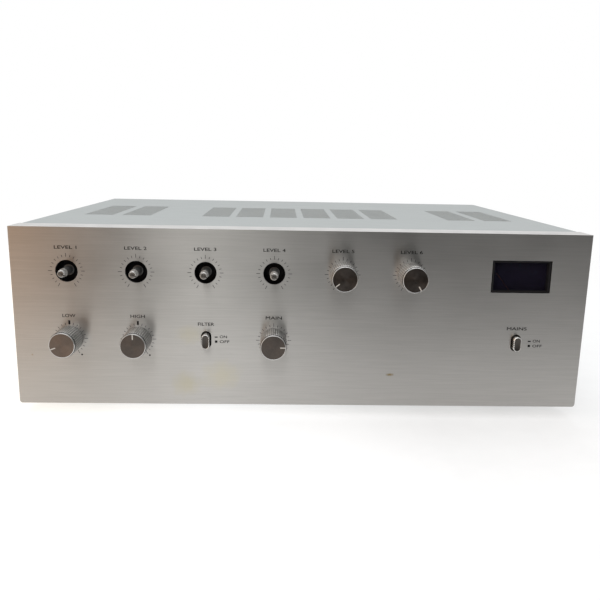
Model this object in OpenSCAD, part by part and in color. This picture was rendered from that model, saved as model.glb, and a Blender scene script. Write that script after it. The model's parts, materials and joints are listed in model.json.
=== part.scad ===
// Mixer amplifier for public address, table-top case, millimetres.
// +Z is up, the controls face -Y, +X is to the right of someone facing the controls.
// The origin is on the floor, under the middle of the whole object's box.

/* [Front panel] */
// Width of the front panel
panel_w = 420; // [410:1:440]
// Height of the front panel
panel_h = 132; // [130:1:145]
// Thickness of the panel's face
panel_t = 3; // [2:0.5:4]
// Depth of the panel's upper and lower flange from its front face
flange_depth = 22; // [20:1:28]
// Thickness of the flanges
flange_t = 2.5; // [2:0.5:3]
// Radius of the panel's lower corners
corner_r = 2; // [1:0.5:3]

/* [Case] */
// Depth from the panel's front face to the rear panel's outer face
case_depth = 306; // [290:1:340]
// Thickness of the steel sheet of lid, sides and base
sheet_t = 1.2; // [1:0.1:1.6]
// Thickness of the rear panel
rear_t = 1.6; // [1.2:0.2:2.4]
// How far each side of the lid stands in from the panel's end
cover_inset = 1; // [0.5:0.5:4]
// How far the lid's top lies below the panel's top
cover_drop = 0.3; // [0.1:0.1:1]
// Gap between the panel's flange and the lid
cover_gap = 0.3; // [0.2:0.1:0.6]
// Height of the lid's folded skirts
skirt_h = 14; // [13:1:20]
// Reach of the lid's tongue under the panel's flange
tongue_reach = 8; // [6:1:9]
// Width of the folded flanges and lips of the sheet pieces
lip_w = 12; // [10:1:16]

/* [Lid slots] */
// Distance of the first slot from the panel's front face
slots_start = 103; // [60:1:115]
// Number of slots in a block
slot_rows = 20; // [10:1:24]
// Distance between slots
slot_pitch = 5; // [4:0.5:6]
// Width of a slot
slot_w = 2.5; // [1.5:0.1:3]
// Number of slot blocks in the middle group
mid_blocks = 6; // [4:1:6]
// Width of a block in the middle group
mid_block_w = 23.5; // [18:0.5:26]
// Distance between blocks in the middle group
mid_block_pitch = 29.25; // [28:0.25:32]
// Width of a block in the side groups
side_block_w = 24.5; // [18:0.5:28]
// Distance between the two blocks of a side group
side_block_pitch = 32; // [30:0.5:36]
// Distance of a side group's middle from the panel's end
side_group_inset = 53; // [48:1:60]

/* [Feet] */
// Clear height under the front panel
foot_gap = 10; // [6:1:14]
// Diameter of a foot at the floor
foot_d = 22; // [18:1:28]
// Diameter of a foot at the base
foot_top_d = 26; // [22:1:32]
// Distance of the feet from the panel's ends
foot_inset_x = 45; // [35:1:70]
// Distance of the front feet from the panel's front face
foot_inset_front = 48; // [44:1:60]
// Distance of the rear feet from the rear face
foot_inset_rear = 40; // [30:1:60]

/* [Controls] */
// Distance of the first control from the panel's left end
first_inset = 39.7; // [34:0.1:50]
// Distance between controls
control_pitch = 49.7; // [45:0.1:50]
// Distance of the upper row below the panel's upper edge
upper_drop = 31.6; // [28:0.1:36]
// Distance between the two rows
row_gap = 50.1; // [45:0.1:54]
// Diameter of the panel's control holes
hole_d = 16; // [14:0.5:17]
// Diameter of the shafts
shaft_d = 6; // [5:0.5:6.5]
// How far a shaft's tip stands out of the panel
shaft_reach = 13; // [10:0.5:15]
// Width of the slot in a shaft's tip
tip_slot_w = 1; // [0.6:0.1:1.4]
// Depth of the slot in a shaft's tip
tip_slot_depth = 5; // [2:0.5:7]
// Diameter of the knobs
knob_d = 19.4; // [16.8:0.1:22]
// How much smaller a knob's rim is than its side, in radius
rim_step = 0.6; // [0.2:0.1:1]
// How far a knob's face stands out of the panel
knob_reach = 20; // [18:0.5:24]
// Gap between a knob and the panel
knob_gap = 0.6; // [0.4:0.1:1.5]
// Width of the bevel round a knob's face
knob_bevel = 0.5; // [0.3:0.1:1]
// Width of the index line on a knob
index_w = 0.9; // [0.6:0.1:1.4]
// Length of the index line on a knob's face
index_len = 4.2; // [3:0.1:6]
// Pointer angle of input 5's knob, clockwise from the top
input_5_angle = -130; // [-150:1:150]
// Pointer angle of input 6's knob, clockwise from the top
input_6_angle = 163; // [-165:1:165]
// Pointer angle of the low tone knob, clockwise from the top
bass_angle = -111; // [-150:1:150]
// Pointer angle of the high tone knob, clockwise from the top
treble_angle = 0; // [-150:1:150]
// Pointer angle of the main level knob, clockwise from the top
master_angle = 90; // [-150:1:150]

/* [Inner panel and potentiometers] */
// Distance of the inner panel from the front panel's front face
inner_gap = 10; // [9.5:0.5:13]
// Thickness of the inner panel
inner_t = 1.5; // [1:0.1:2]
// Diameter of a potentiometer's bushing
bushing_d = 9; // [8:0.5:10]
// How far a bushing stands out of the inner panel
bushing_reach = 3.5; // [3:0.5:4.5]
// Diameter of a potentiometer's can
can_d = 17; // [15:0.5:24]
// Length of a potentiometer's can
can_len = 9; // [8:0.5:14]
// Length of the solder pins behind a can
pin_len = 3.5; // [2:0.5:6]
// Width of a bushing nut across its flats
nut_w = 12; // [11.5:0.5:14]
// Height of a bushing nut
nut_h = 2; // [1.5:0.1:2.5]

/* [Buttons] */
// Width of a button's cap
button_w = 5.6; // [4.5:0.1:7]
// Height of a button's cap
button_h = 11; // [9:0.1:13]
// Play between a button and its slot in the panel
button_play = 1; // [0.4:0.1:1.4]
// Length of a button's cap
cap_len = 11.5; // [10:0.5:12.5]
// How far the tone button stands out when it is released
released_reach = 6.75; // [6:0.05:8]
// How much less the power button stands out, latched in
latch_depth = 2.2; // [1:0.1:2.6]
// Travel of a button from released to pressed home
button_travel = 3.8; // [3:0.1:4]
// Width of a button's square stem
stem_w = 3; // [2.5:0.1:4]
// Length of a button's stem behind its cap
stem_len = 12; // [11:0.5:14]
// Width of a switch body
switch_w = 10; // [8:0.5:14]
// Height of a switch body
switch_h = 18; // [14:0.5:24]
// Length of a switch body
switch_len = 19; // [17:0.5:26]
// Distance of the power button from the panel's right end
power_inset = 50; // [35:1:60]

/* [Meter] */
// Distance of the meter's middle from the panel's right end
meter_inset = 50; // [45:0.5:56]
// Distance of the meter window's middle below the panel's upper edge
window_drop = 31.5; // [29:0.5:34]
// Width of the meter window in the panel
window_w = 44; // [40:0.5:50]
// Height of the meter window in the panel
window_h = 24; // [20:0.5:26]
// Width of the opening in the meter's bezel
bezel_open_w = 40.4; // [36:0.2:46]
// Height of the opening in the meter's bezel
bezel_open_h = 21; // [17:0.2:24]
// Thickness of the meter's bezel
bezel_t = 1.4; // [1:0.1:1.6]
// Thickness of the meter's lens
lens_t = 1.4; // [1:0.1:2]
// Width of the meter's case
meter_w = 54; // [52:1:62]
// Height of the meter's case
meter_h = 46; // [44:1:48]
// How far the case's middle lies below the window's middle
meter_drop = 5.5; // [4:0.5:7]
// Distance of the meter case's back from the panel's front face
meter_back = 30; // [26:1:40]
// Wall of the meter's case
meter_wall = 1.5; // [1:0.1:2]
// How far the needle's pivot lies below the window's middle
pivot_drop = 18; // [16:0.5:19]
// Length of the needle from its pivot
needle_len = 24.5; // [20:0.5:26]
// Resting angle of the needle, to the left of upright
needle_rest = 39; // [30:1:45]

/* [Rear panel] */
// Distance of the outermost module plate's middle from the panel's end
module_inset = 36; // [34:1:40]
// Distance between module plates
module_pitch = 38; // [36:0.5:39]
// Width of a module plate
module_w = 34; // [30:0.5:35]
// Distance of the module plates from the panel's upper and lower edge
module_edge = 16; // [14:1:24]
// Thickness of a module plate
module_t = 1.5; // [1:0.1:2]
// Diameter of a phono socket's barrel
phono_d = 8.3; // [8:0.1:9]
// Length of a phono socket's barrel
phono_len = 9; // [8:0.5:10]
// Distance of the phono sockets from the middle
phono_x = 5; // [0:1:8]
// Distance between phono sockets
phono_pitch = 20; // [16:0.5:22]
// Number of terminals in the terminal block
terminals = 5; // [4:1:8]
// Distance between terminals
terminal_pitch = 10; // [9:0.1:10.5]
// Height of the terminal block
terminal_h = 22; // [18:1:28]
// Thickness of the terminal block's floor
terminal_floor = 6; // [5:0.5:7]
// How far the terminal block's barriers stand out of the rear panel
terminal_reach = 12; // [11.5:0.5:14]
// Distance of the terminal block from the middle
terminal_x = 78; // [72:1:84]
// Height of the terminal block above the panel's lower edge
terminal_row = 94; // [85:1:100]
// Distance of the fuse holder from the panel's end
fuse_inset = 50; // [38:1:60]
// Diameter of the fuse holder's body
fuse_d = 12; // [11:0.5:14]
// Distance of the mains inlet from the panel's end
inlet_inset = 50; // [44:1:60]
// Height of the mains inlet above the panel's lower edge
inlet_row = 46; // [36:1:50]

/* [Rack bracket holes] */
// Radius of a rack bracket hole in a side panel
rack_r = 2.1; // [1.6:0.1:2.6]
// Distance of the first rack bracket holes from the panel's front face
rack_start = 45; // [40:1:60]
// Distance between the rack bracket holes, front to back
rack_dy = 30; // [20:1:40]
// Distance between the rack bracket holes, up and down
rack_dz = 60; // [40:1:70]

/* [Inside] */
// Width of the mains transformer's core
mains_w = 96; // [84:1:100]
// Height of the mains transformer's core
mains_h = 80; // [70:1:90]
// Stack of the mains transformer's core
mains_stack = 50; // [40:1:60]
// Distance of the mains transformer's middle from the panel's front face
mains_front = 92; // [88:1:110]
// Width of the output transformer's core
output_w = 66; // [60:1:78]
// Height of the output transformer's core
output_h = 55; // [50:1:66]
// Stack of the output transformer's core
output_stack = 40; // [30:1:50]
// Width of the main circuit board
board_w = 112; // [100:1:120]
// Depth of the main circuit board
board_d = 150; // [130:1:160]
// Thickness of the circuit boards
board_t = 1.6; // [1:0.2:2]
// Height of the bosses under the main circuit board
boss_h = 10; // [8:1:14]
// Diameter of a filter capacitor
capacitor_d = 30; // [25:1:35]
// Height of a filter capacitor
capacitor_h = 50; // [40:1:60]
// Length of the heat sink
sink_len = 104; // [96:1:120]
// Height of the heat sink
sink_h = 80; // [70:1:95]
// Thickness of the heat sink's back
sink_back = 4; // [3:0.5:6]
// Length of the heat sink's fins
fin_len = 25; // [15:1:30]
// Number of fins on the heat sink
fins = 12; // [8:1:14]

/* [Hidden] */
$fn = 64;
eps = 0.5;

// Clearances
shaft_play = 0.05;
press_gap = 0.03;
hole_play = 0.1;
stem_play = 0.2;
case_play = 0.3;
seat_gap = 0.3;

// Small fasteners, all alike
screw_r = 1.5;
screw_len = 6;
head_r = 2.8;
head_h = 1.8;
cross_w = 0.8;
cross_len = 3.4;
cross_depth = 0.9;
screw_hole_r = screw_r + hole_play;

// Screws, recesses and nuts of the feet
foot_screw_r = 2;
foot_head_r = 3.8;
foot_head_h = 2.6;
foot_recess_r = 5;
foot_recess_h = 6;
foot_nut_w = 7;
foot_nut_h = 3.2;

// Planes across the depth
fuse_rim_t = 3;
fuse_head_len = 7;
phono_rim_t = 1.2;
rear_reach = max(terminal_reach, phono_rim_t + phono_len, fuse_rim_t + hole_play + fuse_head_len);
total_depth = knob_reach + case_depth + rear_reach;
face_y = knob_reach - total_depth / 2;
panel_back_y = face_y + panel_t;
inner_y = face_y + inner_gap;
inner_back_y = inner_y + inner_t;
cover_front_y = face_y + flange_depth + cover_gap;
rear_y = face_y + case_depth;
rear_in_y = rear_y - rear_t;

// Planes up the height
panel_z = foot_gap;
top_z = panel_z + panel_h;
tray_z = panel_z + flange_t;
tray_top = tray_z + sheet_t;
flange_under_z = top_z - flange_t;
cover_top_z = top_z - cover_drop;
cover_under_z = cover_top_z - sheet_t;

// Planes across the width
cover_x = panel_w / 2 - cover_inset;
side_x = cover_x - sheet_t;
side_in_x = side_x - sheet_t;

// Places of the controls on the panel
function control_x(k) = first_inset - panel_w / 2 + k * control_pitch;
upper_row = panel_h - upper_drop;
lower_row = upper_row - row_gap;
meter_row = panel_h - window_drop;
meter_x = panel_w / 2 - meter_inset;
power_x = panel_w / 2 - power_inset;
input_angles = [-150, -105, 40, 75, input_5_angle, input_6_angle];
bass_x = control_x(0);
treble_x = control_x(1);
tone_x = control_x(2);
master_x = control_x(3);
pot_places = concat(
    [for (k = [0:5]) [control_x(k), upper_row]],
    [for (x = [bass_x, treble_x, master_x]) [x, lower_row]]);
switch_places = [[tone_x, lower_row], [power_x, lower_row]];
power_reach = released_reach - latch_depth;

// Shaft, knob and potentiometer, measured out of the panel's front face
shaft_r = shaft_d / 2;
tip_chamfer = 0.6;
bushing_front = bushing_reach - inner_gap;
mount_face = -inner_gap - inner_t;
shaft_seat = 6;
shaft_end = mount_face - shaft_seat;
clip_w = 0.8;
clip_depth = 0.5;
clip_proud = 0.9;
clip_start = bushing_front + hole_play;
tip_clear = 0.5;
knob_r = knob_d / 2;
rim_r = knob_r - rim_step;
knob_edge = 0.4;
groove_w = 0.5;
groove_depth = 0.4;
rim_len = 1.4;
index_depth = 0.3;
pin_w = 1;
pin_t = 0.6;
pin_spread = 5;
pin_edge = 2.5;
pin_drop = can_d / 2 - pin_edge;
board_front = mount_face - can_len - pin_len;
control_board_edge = 20;

// Switches
switch_bore_end = released_reach - cap_len - stem_len - button_travel - tip_clear;
stem_room = 1;
stem_hole_w = stem_w + 2 * stem_room;
switch_room = 1;

// Meter, measured out of the panel's front face
bezel_front = -panel_t - seat_gap;
collar_front = -seat_gap;
lens_front = bezel_front - bezel_t;
meter_front = lens_front - lens_t;
needle_room = 3.4;
hub_len = 3;
hub_inset = 0.5;
hub_gap = 1;
dial_t = 1;
pivot_front = meter_front - needle_room;
hub_front = pivot_front - hub_inset;
hub_back = hub_front - hub_len;
dial_front = hub_back - hub_gap;
dial_back = dial_front - dial_t;
meter_in_w = meter_w - 2 * meter_wall;
meter_in_h = meter_h - 2 * meter_wall;
ear_w = 7;
ear_h = 14;
ear_drop = 14;
movement_w = 28;
movement_h = 15;
pivot_r = 0.8;
hub_r = 2.4;
needle_w = 0.8;
needle_t = 0.5;
needle_tail = 7;
needle_z = hub_front - needle_t - hole_play;

// Rear panel pieces
bay_w = 26;
bay_h = 40;
module_places = [for (k = [0:3]) panel_w / 2 - module_inset - k * module_pitch];
module_h = panel_h - 2 * module_edge;
module_row = panel_h / 2;
fuse_x = panel_w / 2 - fuse_inset;
inlet_x = panel_w / 2 - inlet_inset;
module_screw_edge = 6;
module_screw_rise = module_h / 2 - module_screw_edge;
phono_rise = 25;
phono_places = [for (i = [0:1], k = [-1:1]) [phono_x - i * phono_pitch, module_row + k * phono_rise]];
phono_rim_r = 6;
phono_neck_r = 3.4;
phono_neck_len = 6;
phono_bore_r = 1.6;
phono_bore_len = 7.5;
barrier_t = 1.4;
block_len = terminals * terminal_pitch + barrier_t;
block_ear = 9;
block_ear_t = 3;
block_screw_x = block_len / 2 + block_ear / 2;
terminal_head_r = 3;
terminal_head_h = 2.2;
terminal_screw_len = 4.5;
fuse_row = terminal_row;
fuse_rim_r = 9;
fuse_len = 30;
fuse_bore_r = 4.6;
fuse_bore_len = 16;
fuse_shank_len = 14;
fuse_head_r = 7.4;
fuse_grip_w = 1.6;
fuse_grip_depth = 1.8;
inlet_flange_w = 50;
inlet_flange_h = 28;
inlet_flange_t = 3;
inlet_body_w = 28;
inlet_body_h = 20.4;
inlet_len = 20;
inlet_open_w = 24.4;
inlet_open_h = 16.6;
inlet_open_len = 18;
inlet_chamfer = 4.5;
inlet_screw_x = 20;
blade_w = 2;
blade_h = 4;
blade_len = 15;
blade_x = 7;
line_blade_drop = 2;
earth_blade_rise = 4;

// Case screws
screw_edge = 60;
side_screw_ys = [for (k = [0:2]) face_y + screw_edge + k * (case_depth - 2 * screw_edge) / 2];
cover_screw_drop = 8;
cover_screw_z = cover_top_z - cover_screw_drop;
tray_screw_z = tray_top + lip_w / 2;
inner_top_gap = 2;
inner_lip = 14;
inner_screw_y = inner_back_y + inner_lip / 2;
inner_screw_edge = 36;
inner_screw_zs = [panel_z + inner_screw_edge, top_z - inner_screw_edge];
flange_screw_edge = 5;
flange_screw_y = face_y + flange_depth - flange_screw_edge;
flange_screw_xs = [for (k = [-1.5, -0.5, 0.5, 1.5]) k * panel_w / 4];
lip_gap = 4;
fold_gap = 2 * sheet_t;
lip_start_y = inner_back_y + inner_lip + lip_gap;
rear_lip_x = side_in_x - lip_w - lip_gap;
rear_screw_inset = 30;
rear_screw_xs = [for (k = [-1:1]) k * (rear_lip_x - rear_screw_inset)];
rear_side_x = side_in_x - lip_w / 2;
rear_side_low = 40;
rear_side_high = 26;
rear_side_zs = [panel_z + rear_side_low, top_z - rear_side_high];
rack_z = panel_z + (panel_h - rack_dz) / 2;

// Places of the feet
foot_places = [for (sx = [-1, 1], y = [face_y + foot_inset_front, rear_y - foot_inset_rear])
    [sx * (panel_w / 2 - foot_inset_x), y]];
foot_screw_proud = 1;
foot_tip_z = tray_top + foot_nut_h + foot_screw_proud;

// Transformers: windows are a sixth of the core wide, the middle leg a third
foot_plate_t = 2;
foot_plate_w = 10;
coil_gap = 0.3;
core_screw_edge = 8;
mains_side_gap = 22;
core_gap = 12;
function coil_reach(w, stack) = stack / 2 + w / 6;
mains_x = -side_in_x + mains_side_gap + mains_w / 2;
mains_y = face_y + mains_front;
output_x = mains_x;
output_y = mains_y + coil_reach(mains_w, mains_stack) + core_gap + coil_reach(output_w, output_stack);

// Main circuit board, its bosses, capacitors and the heat sink
sink_side_gap = 18;
sink_x = side_in_x - sink_side_gap - fin_len - sink_back;
inside_y = face_y + case_depth / 2;
sink_y = inside_y - sink_len / 2;
sink_foot_w = 10;
sink_foot_t = 3;
fin_t = 1.6;
transistors = 4;
transistor_t = 1.6;
transistor_can_r = 10;
transistor_can_h = 7;
transistor_rise = 45;
board_gap = 20;
board_x = sink_x - board_gap - board_w;
board_y = inside_y - board_d / 2;
board_z = tray_top + boss_h;
boss_r = 3.5;
boss_edge = 6;
boss_places = [for (i = [0:1], k = [0:1])
    [board_x + boss_edge + i * (board_w - 2 * boss_edge),
     board_y + boss_edge + k * (board_d - 2 * boss_edge)]];
capacitor_gap = 8;

// Screws that stand on the base: transformer feet, heat sink foot
function core_screws(x, y, w, stack) = [for (sx = [-1, 1], sy = [-1, 1])
    [x + sx * (w / 2 + foot_plate_w / 2), y + sy * (stack / 2 - core_screw_edge)]];
core_screw_places = concat(core_screws(mains_x, mains_y, mains_w, mains_stack),
    core_screws(output_x, output_y, output_w, output_stack));
sink_screw_edge = 15;
sink_screw_places = [for (y = [sink_y + sink_screw_edge, sink_y + sink_len - sink_screw_edge])
    [sink_x - sink_foot_w / 2, y]];

// Placing helpers

// A place on the front panel: x right, y up, z out of the panel towards the viewer
module on_face(x, row) {
    translate([x, face_y, panel_z + row]) rotate([90, 0, 0]) children();
}

// A place on the rear panel, y up, z out of the rear panel
module on_rear(x, row) {
    translate([x, rear_y, panel_z + row]) rotate([90, 0, 180]) children();
}

// An outline across the width and height, made solid from y0 towards the rear
module plate_xz(y0, t) {
    translate([0, y0 + t, 0]) rotate([90, 0, 0]) linear_extrude(t) children();
}

// An outline across the depth and height, made solid from x0 towards the right
module plate_yz(x0, t) {
    translate([x0, 0, 0]) rotate([90, 0, 90]) linear_extrude(t) children();
}

// A block between two corners
module block(low, high) {
    translate(low) cube(high - low);
}

// A round bar along X
module rod_x(r, x0, x1) {
    translate([x0, 0, 0]) rotate([0, 90, 0]) cylinder(r = r, h = x1 - x0);
}

// An upright outline with round ends
module stadium(w, h) {
    square([w, h - w], center = true);
    for (s = [-1, 1]) translate([0, s * (h - w) / 2]) circle(d = w);
}

// Pan-head screw with a cross recess: the head stands on z = 0, the shank goes down
module screw() {
    difference() {
        cylinder(r = head_r, h = head_h);
        for (a = [0, 90]) rotate([0, 0, a])
            translate([-cross_len / 2, -cross_w / 2, head_h - cross_depth])
                cube([cross_len, cross_w, cross_depth + eps]);
    }
    translate([0, 0, -screw_len]) cylinder(r = screw_r, h = screw_len + head_h / 4);
}

// Hole for such a screw, through all that lies near z = 0
module screw_hole() {
    translate([0, 0, -screw_len - eps]) cylinder(r = screw_hole_r, h = 2 * screw_len);
}

// Every place of a case screw, grouped by what it holds; children are drawn with z out of the surface
module at_side_screws(z, x) {
    for (y = side_screw_ys, s = [-1, 1]) translate([s * x, y, z]) rotate([0, s * 90, 0]) children();
}
module at_inner_screws() {
    for (z = inner_screw_zs, s = [-1, 1])
        translate([s * side_x, inner_screw_y, z]) rotate([0, s * 90, 0]) children();
}
module at_flange_screws() {
    for (x = flange_screw_xs) translate([x, flange_screw_y, panel_z]) rotate([180, 0, 0]) children();
}
module at_rear_screws() {
    for (x = rear_screw_xs) translate([x, rear_y, tray_screw_z]) rotate([-90, 0, 0]) children();
    for (z = rear_side_zs, s = [-1, 1])
        translate([s * rear_side_x, rear_y, z]) rotate([-90, 0, 0]) children();
}
module at_module_screws(t) {
    for (x = module_places, s = [-1, 1])
        translate([x, rear_y + t, panel_z + module_row + s * module_screw_rise])
            rotate([-90, 0, 0]) children();
}
module at_block_screws(t) {
    for (s = [-1, 1])
        translate([-terminal_x + s * block_screw_x, rear_y + t, panel_z + terminal_row])
            rotate([-90, 0, 0]) children();
}
module at_inlet_screws(t) {
    for (s = [-1, 1])
        translate([-inlet_x + s * inlet_screw_x, rear_y + t, panel_z + inlet_row])
            rotate([-90, 0, 0]) children();
}
module at_base_screws(places, z) {
    for (p = places) translate([p[0], p[1], z]) children();
}

// Front panel: an extruded channel with round lower corners, open at its ends
module panel_outline() {
    difference() {
        translate([-panel_w / 2, panel_z]) square([panel_w, panel_h]);
        for (s = [-1, 1]) translate([s * panel_w / 2, panel_z]) square(2 * corner_r, center = true);
    }
    for (s = [-1, 1]) translate([s * (panel_w / 2 - corner_r), panel_z + corner_r]) circle(r = corner_r);
}

module front_panel() {
    color("silver") difference() {
        plate_xz(face_y, flange_depth) panel_outline();
        block([-panel_w, panel_back_y, tray_z], [panel_w, face_y + flange_depth + eps, flange_under_z]);
        for (p = pot_places) on_face(p[0], p[1])
            translate([0, 0, -panel_t - eps]) cylinder(d = hole_d, h = panel_t + 2 * eps);
        for (p = switch_places) on_face(p[0], p[1])
            translate([0, 0, -panel_t - eps]) linear_extrude(panel_t + 2 * eps)
                stadium(button_w + 2 * button_play, button_h + 2 * button_play);
        on_face(meter_x, meter_row) translate([0, 0, -panel_t - eps])
            linear_extrude(panel_t + 2 * eps) square([window_w, window_h], center = true);
        at_flange_screws() screw_hole();
    }
}

// Inner panel: carries the controls, stands on the base, its folded ends are screwed to the sides
module inner_panel() {
    color([0.08, 0.08, 0.08]) difference() {
        union() {
            block([-side_in_x, inner_y, tray_top],
                  [side_in_x, inner_back_y, flange_under_z - inner_top_gap]);
            for (s = [0, 1]) mirror([s, 0, 0])
                block([side_in_x - inner_t, inner_y, tray_top + lip_w],
                      [side_in_x, inner_back_y + inner_lip, flange_under_z - lip_w]);
        }
        for (p = pot_places) on_face(p[0], p[1]) translate([0, 0, mount_face - eps])
            cylinder(r = bushing_d / 2 + hole_play, h = inner_t + 2 * eps);
        for (p = switch_places) on_face(p[0], p[1])
            translate([-stem_hole_w / 2, -stem_hole_w / 2, mount_face - eps])
                cube([stem_hole_w, stem_hole_w, inner_t + 2 * eps]);
        on_face(meter_x, meter_row - meter_drop)
            translate([-meter_w / 2 - case_play, -meter_h / 2 - case_play, mount_face - eps])
                cube([meter_w + 2 * case_play, meter_h + 2 * case_play, inner_t + 2 * eps]);
        at_inner_screws() screw_hole();
    }
}

// Base: a tray with folded lips and pressed bosses for the main circuit board
module base_tray() {
    color([0.62, 0.63, 0.63]) difference() {
        union() {
            block([-side_in_x, panel_back_y, tray_z], [side_in_x, rear_in_y, tray_top]);
            for (s = [0, 1]) mirror([s, 0, 0])
                block([side_in_x - sheet_t, lip_start_y, tray_z],
                      [side_in_x, rear_in_y - fold_gap, tray_top + lip_w]);
            block([-rear_lip_x, rear_in_y - sheet_t, tray_z], [rear_lip_x, rear_in_y, tray_top + lip_w]);
            for (p = boss_places) translate([p[0], p[1], tray_top]) cylinder(r = boss_r, h = boss_h);
        }
        at_side_screws(tray_screw_z, side_x) screw_hole();
        at_flange_screws() screw_hole();
        at_rear_screws() screw_hole();
        at_base_screws(boss_places, board_z + board_t) screw_hole();
        at_base_screws(core_screw_places, tray_top + foot_plate_t) screw_hole();
        at_base_screws(sink_screw_places, tray_top + sink_foot_t) screw_hole();
        for (p = foot_places) translate([p[0], p[1], tray_z - eps])
            cylinder(r = foot_screw_r + hole_play, h = sheet_t + 2 * eps);
    }
}

// Side: a plate notched under the panel's flange, with flanges for lid and rear panel
module side_panel() {
    color([0.75, 0.77, 0.76]) difference() {
        union() {
            plate_yz(side_in_x, sheet_t) polygon([
                [panel_back_y, tray_z], [rear_in_y, tray_z], [rear_in_y, cover_under_z],
                [cover_front_y, cover_under_z], [cover_front_y, flange_under_z],
                [panel_back_y, flange_under_z]]);
            block([side_in_x - lip_w, cover_front_y + sheet_t + fold_gap, cover_under_z - sheet_t],
                  [side_in_x + sheet_t / 2, rear_in_y - fold_gap, cover_under_z]);
            block([side_in_x - lip_w, rear_in_y - sheet_t, tray_top + lip_w + fold_gap],
                  [side_in_x + sheet_t / 2, rear_in_y, cover_under_z - fold_gap]);
        }
        at_side_screws(tray_screw_z, side_x) screw_hole();
        at_side_screws(cover_screw_z, cover_x) screw_hole();
        at_inner_screws() screw_hole();
        at_rear_screws() screw_hole();
        for (i = [0:1], k = [0:1])
            translate([0, face_y + rack_start + i * rack_dy, rack_z + k * rack_dz])
                rod_x(rack_r, side_in_x - eps, side_x + eps);
    }
}
module side_panel_right() { side_panel(); }
module side_panel_left() { mirror([1, 0, 0]) side_panel(); }

// Rear panel: a plate behind the sides and the base, under the lid
module rear_panel() {
    color([0.72, 0.74, 0.73]) difference() {
        block([-side_x, rear_in_y, tray_z], [side_x, rear_y, cover_under_z]);
        at_rear_screws() screw_hole();
        at_module_screws(0) screw_hole();
        at_block_screws(0) screw_hole();
        at_inlet_screws(0) screw_hole();
        for (x = module_places)
            block([x - bay_w / 2, rear_in_y - eps, panel_z + module_row - bay_h / 2],
                  [x + bay_w / 2, rear_y + eps, panel_z + module_row + bay_h / 2]);
        for (p = phono_places) on_rear(p[0], p[1])
            translate([0, 0, -rear_t - eps]) cylinder(r = phono_neck_r + hole_play, h = rear_t + 2 * eps);
        on_rear(-fuse_x, fuse_row)
            translate([0, 0, -rear_t - eps]) cylinder(r = fuse_d / 2 + hole_play, h = rear_t + 2 * eps);
        on_rear(-inlet_x, inlet_row) translate([0, 0, -rear_t - eps]) linear_extrude(rear_t + 2 * eps)
            square([inlet_body_w + 2 * hole_play, inlet_body_h + 2 * hole_play], center = true);
    }
}

// Lid: a slotted plate with a skirt on each side and a tongue under the panel's flange
module slot_block(x, w) {
    for (k = [0:slot_rows - 1])
        translate([x - w / 2, face_y + slots_start + k * slot_pitch]) square([w, slot_w]);
}

module top_cover() {
    cover_len = case_depth - flange_depth - cover_gap;
    side_group_x = panel_w / 2 - side_group_inset;
    tongue_x = side_in_x - lip_w - lip_gap;
    color([0.75, 0.77, 0.76]) difference() {
        union() {
            translate([0, 0, cover_under_z]) linear_extrude(sheet_t) difference() {
                translate([-cover_x, cover_front_y]) square([2 * cover_x, cover_len]);
                for (k = [0:mid_blocks - 1])
                    slot_block((k - (mid_blocks - 1) / 2) * mid_block_pitch, mid_block_w);
                for (s = [-1, 1], i = [-1, 1])
                    slot_block(s * side_group_x + i * side_block_pitch / 2, side_block_w);
            }
            for (s = [0, 1]) mirror([s, 0, 0])
                block([side_x, cover_front_y, cover_top_z - skirt_h], [cover_x, rear_y, cover_top_z]);
            block([-tongue_x, cover_front_y, flange_under_z - sheet_t],
                  [tongue_x, cover_front_y + sheet_t, cover_top_z]);
            block([-tongue_x, cover_front_y - tongue_reach, flange_under_z - sheet_t],
                  [tongue_x, cover_front_y + sheet_t, flange_under_z]);
        }
        at_side_screws(cover_screw_z, cover_x) screw_hole();
    }
}

// Rubber feet: tapered, with a recess for the screw
module rubber_feet() {
    color([0.07, 0.07, 0.07]) for (p = foot_places) translate([p[0], p[1], 0]) difference() {
        cylinder(d1 = foot_d, d2 = foot_top_d, h = tray_z);
        translate([0, 0, -eps]) cylinder(r = foot_recess_r, h = foot_recess_h + eps);
        cylinder(r = foot_screw_r + hole_play, h = tray_z + eps);
    }
}

// Screws of the feet, each with its nut on the base
module foot_screws() {
    color("silver") for (p = foot_places) translate([p[0], p[1], 0]) {
        translate([0, 0, foot_recess_h - foot_head_h]) cylinder(r = foot_head_r, h = foot_head_h);
        translate([0, 0, foot_recess_h - foot_head_h / 2])
            cylinder(r = foot_screw_r, h = foot_tip_z - foot_recess_h + foot_head_h / 2);
        translate([0, 0, tray_top]) difference() {
            cylinder(d = foot_nut_w / cos(30), h = foot_nut_h, $fn = 6);
            translate([0, 0, -eps]) cylinder(r = foot_screw_r + press_gap, h = foot_nut_h + 2 * eps);
        }
    }
}

// All the alike screws of lid, sides, base, panels, plates, transformers, board and heat sink
module case_screws() {
    color([0.7, 0.7, 0.68]) {
        at_side_screws(cover_screw_z, cover_x) screw();
        at_side_screws(tray_screw_z, side_x) screw();
        at_inner_screws() screw();
        at_flange_screws() screw();
        at_rear_screws() screw();
        at_module_screws(module_t) screw();
        at_block_screws(block_ear_t) screw();
        at_inlet_screws(inlet_flange_t) screw();
        at_base_screws(boss_places, board_z + board_t) screw();
        at_base_screws(core_screw_places, tray_top + foot_plate_t) screw();
        at_base_screws(sink_screw_places, tray_top + sink_foot_t) screw();
    }
}

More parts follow.
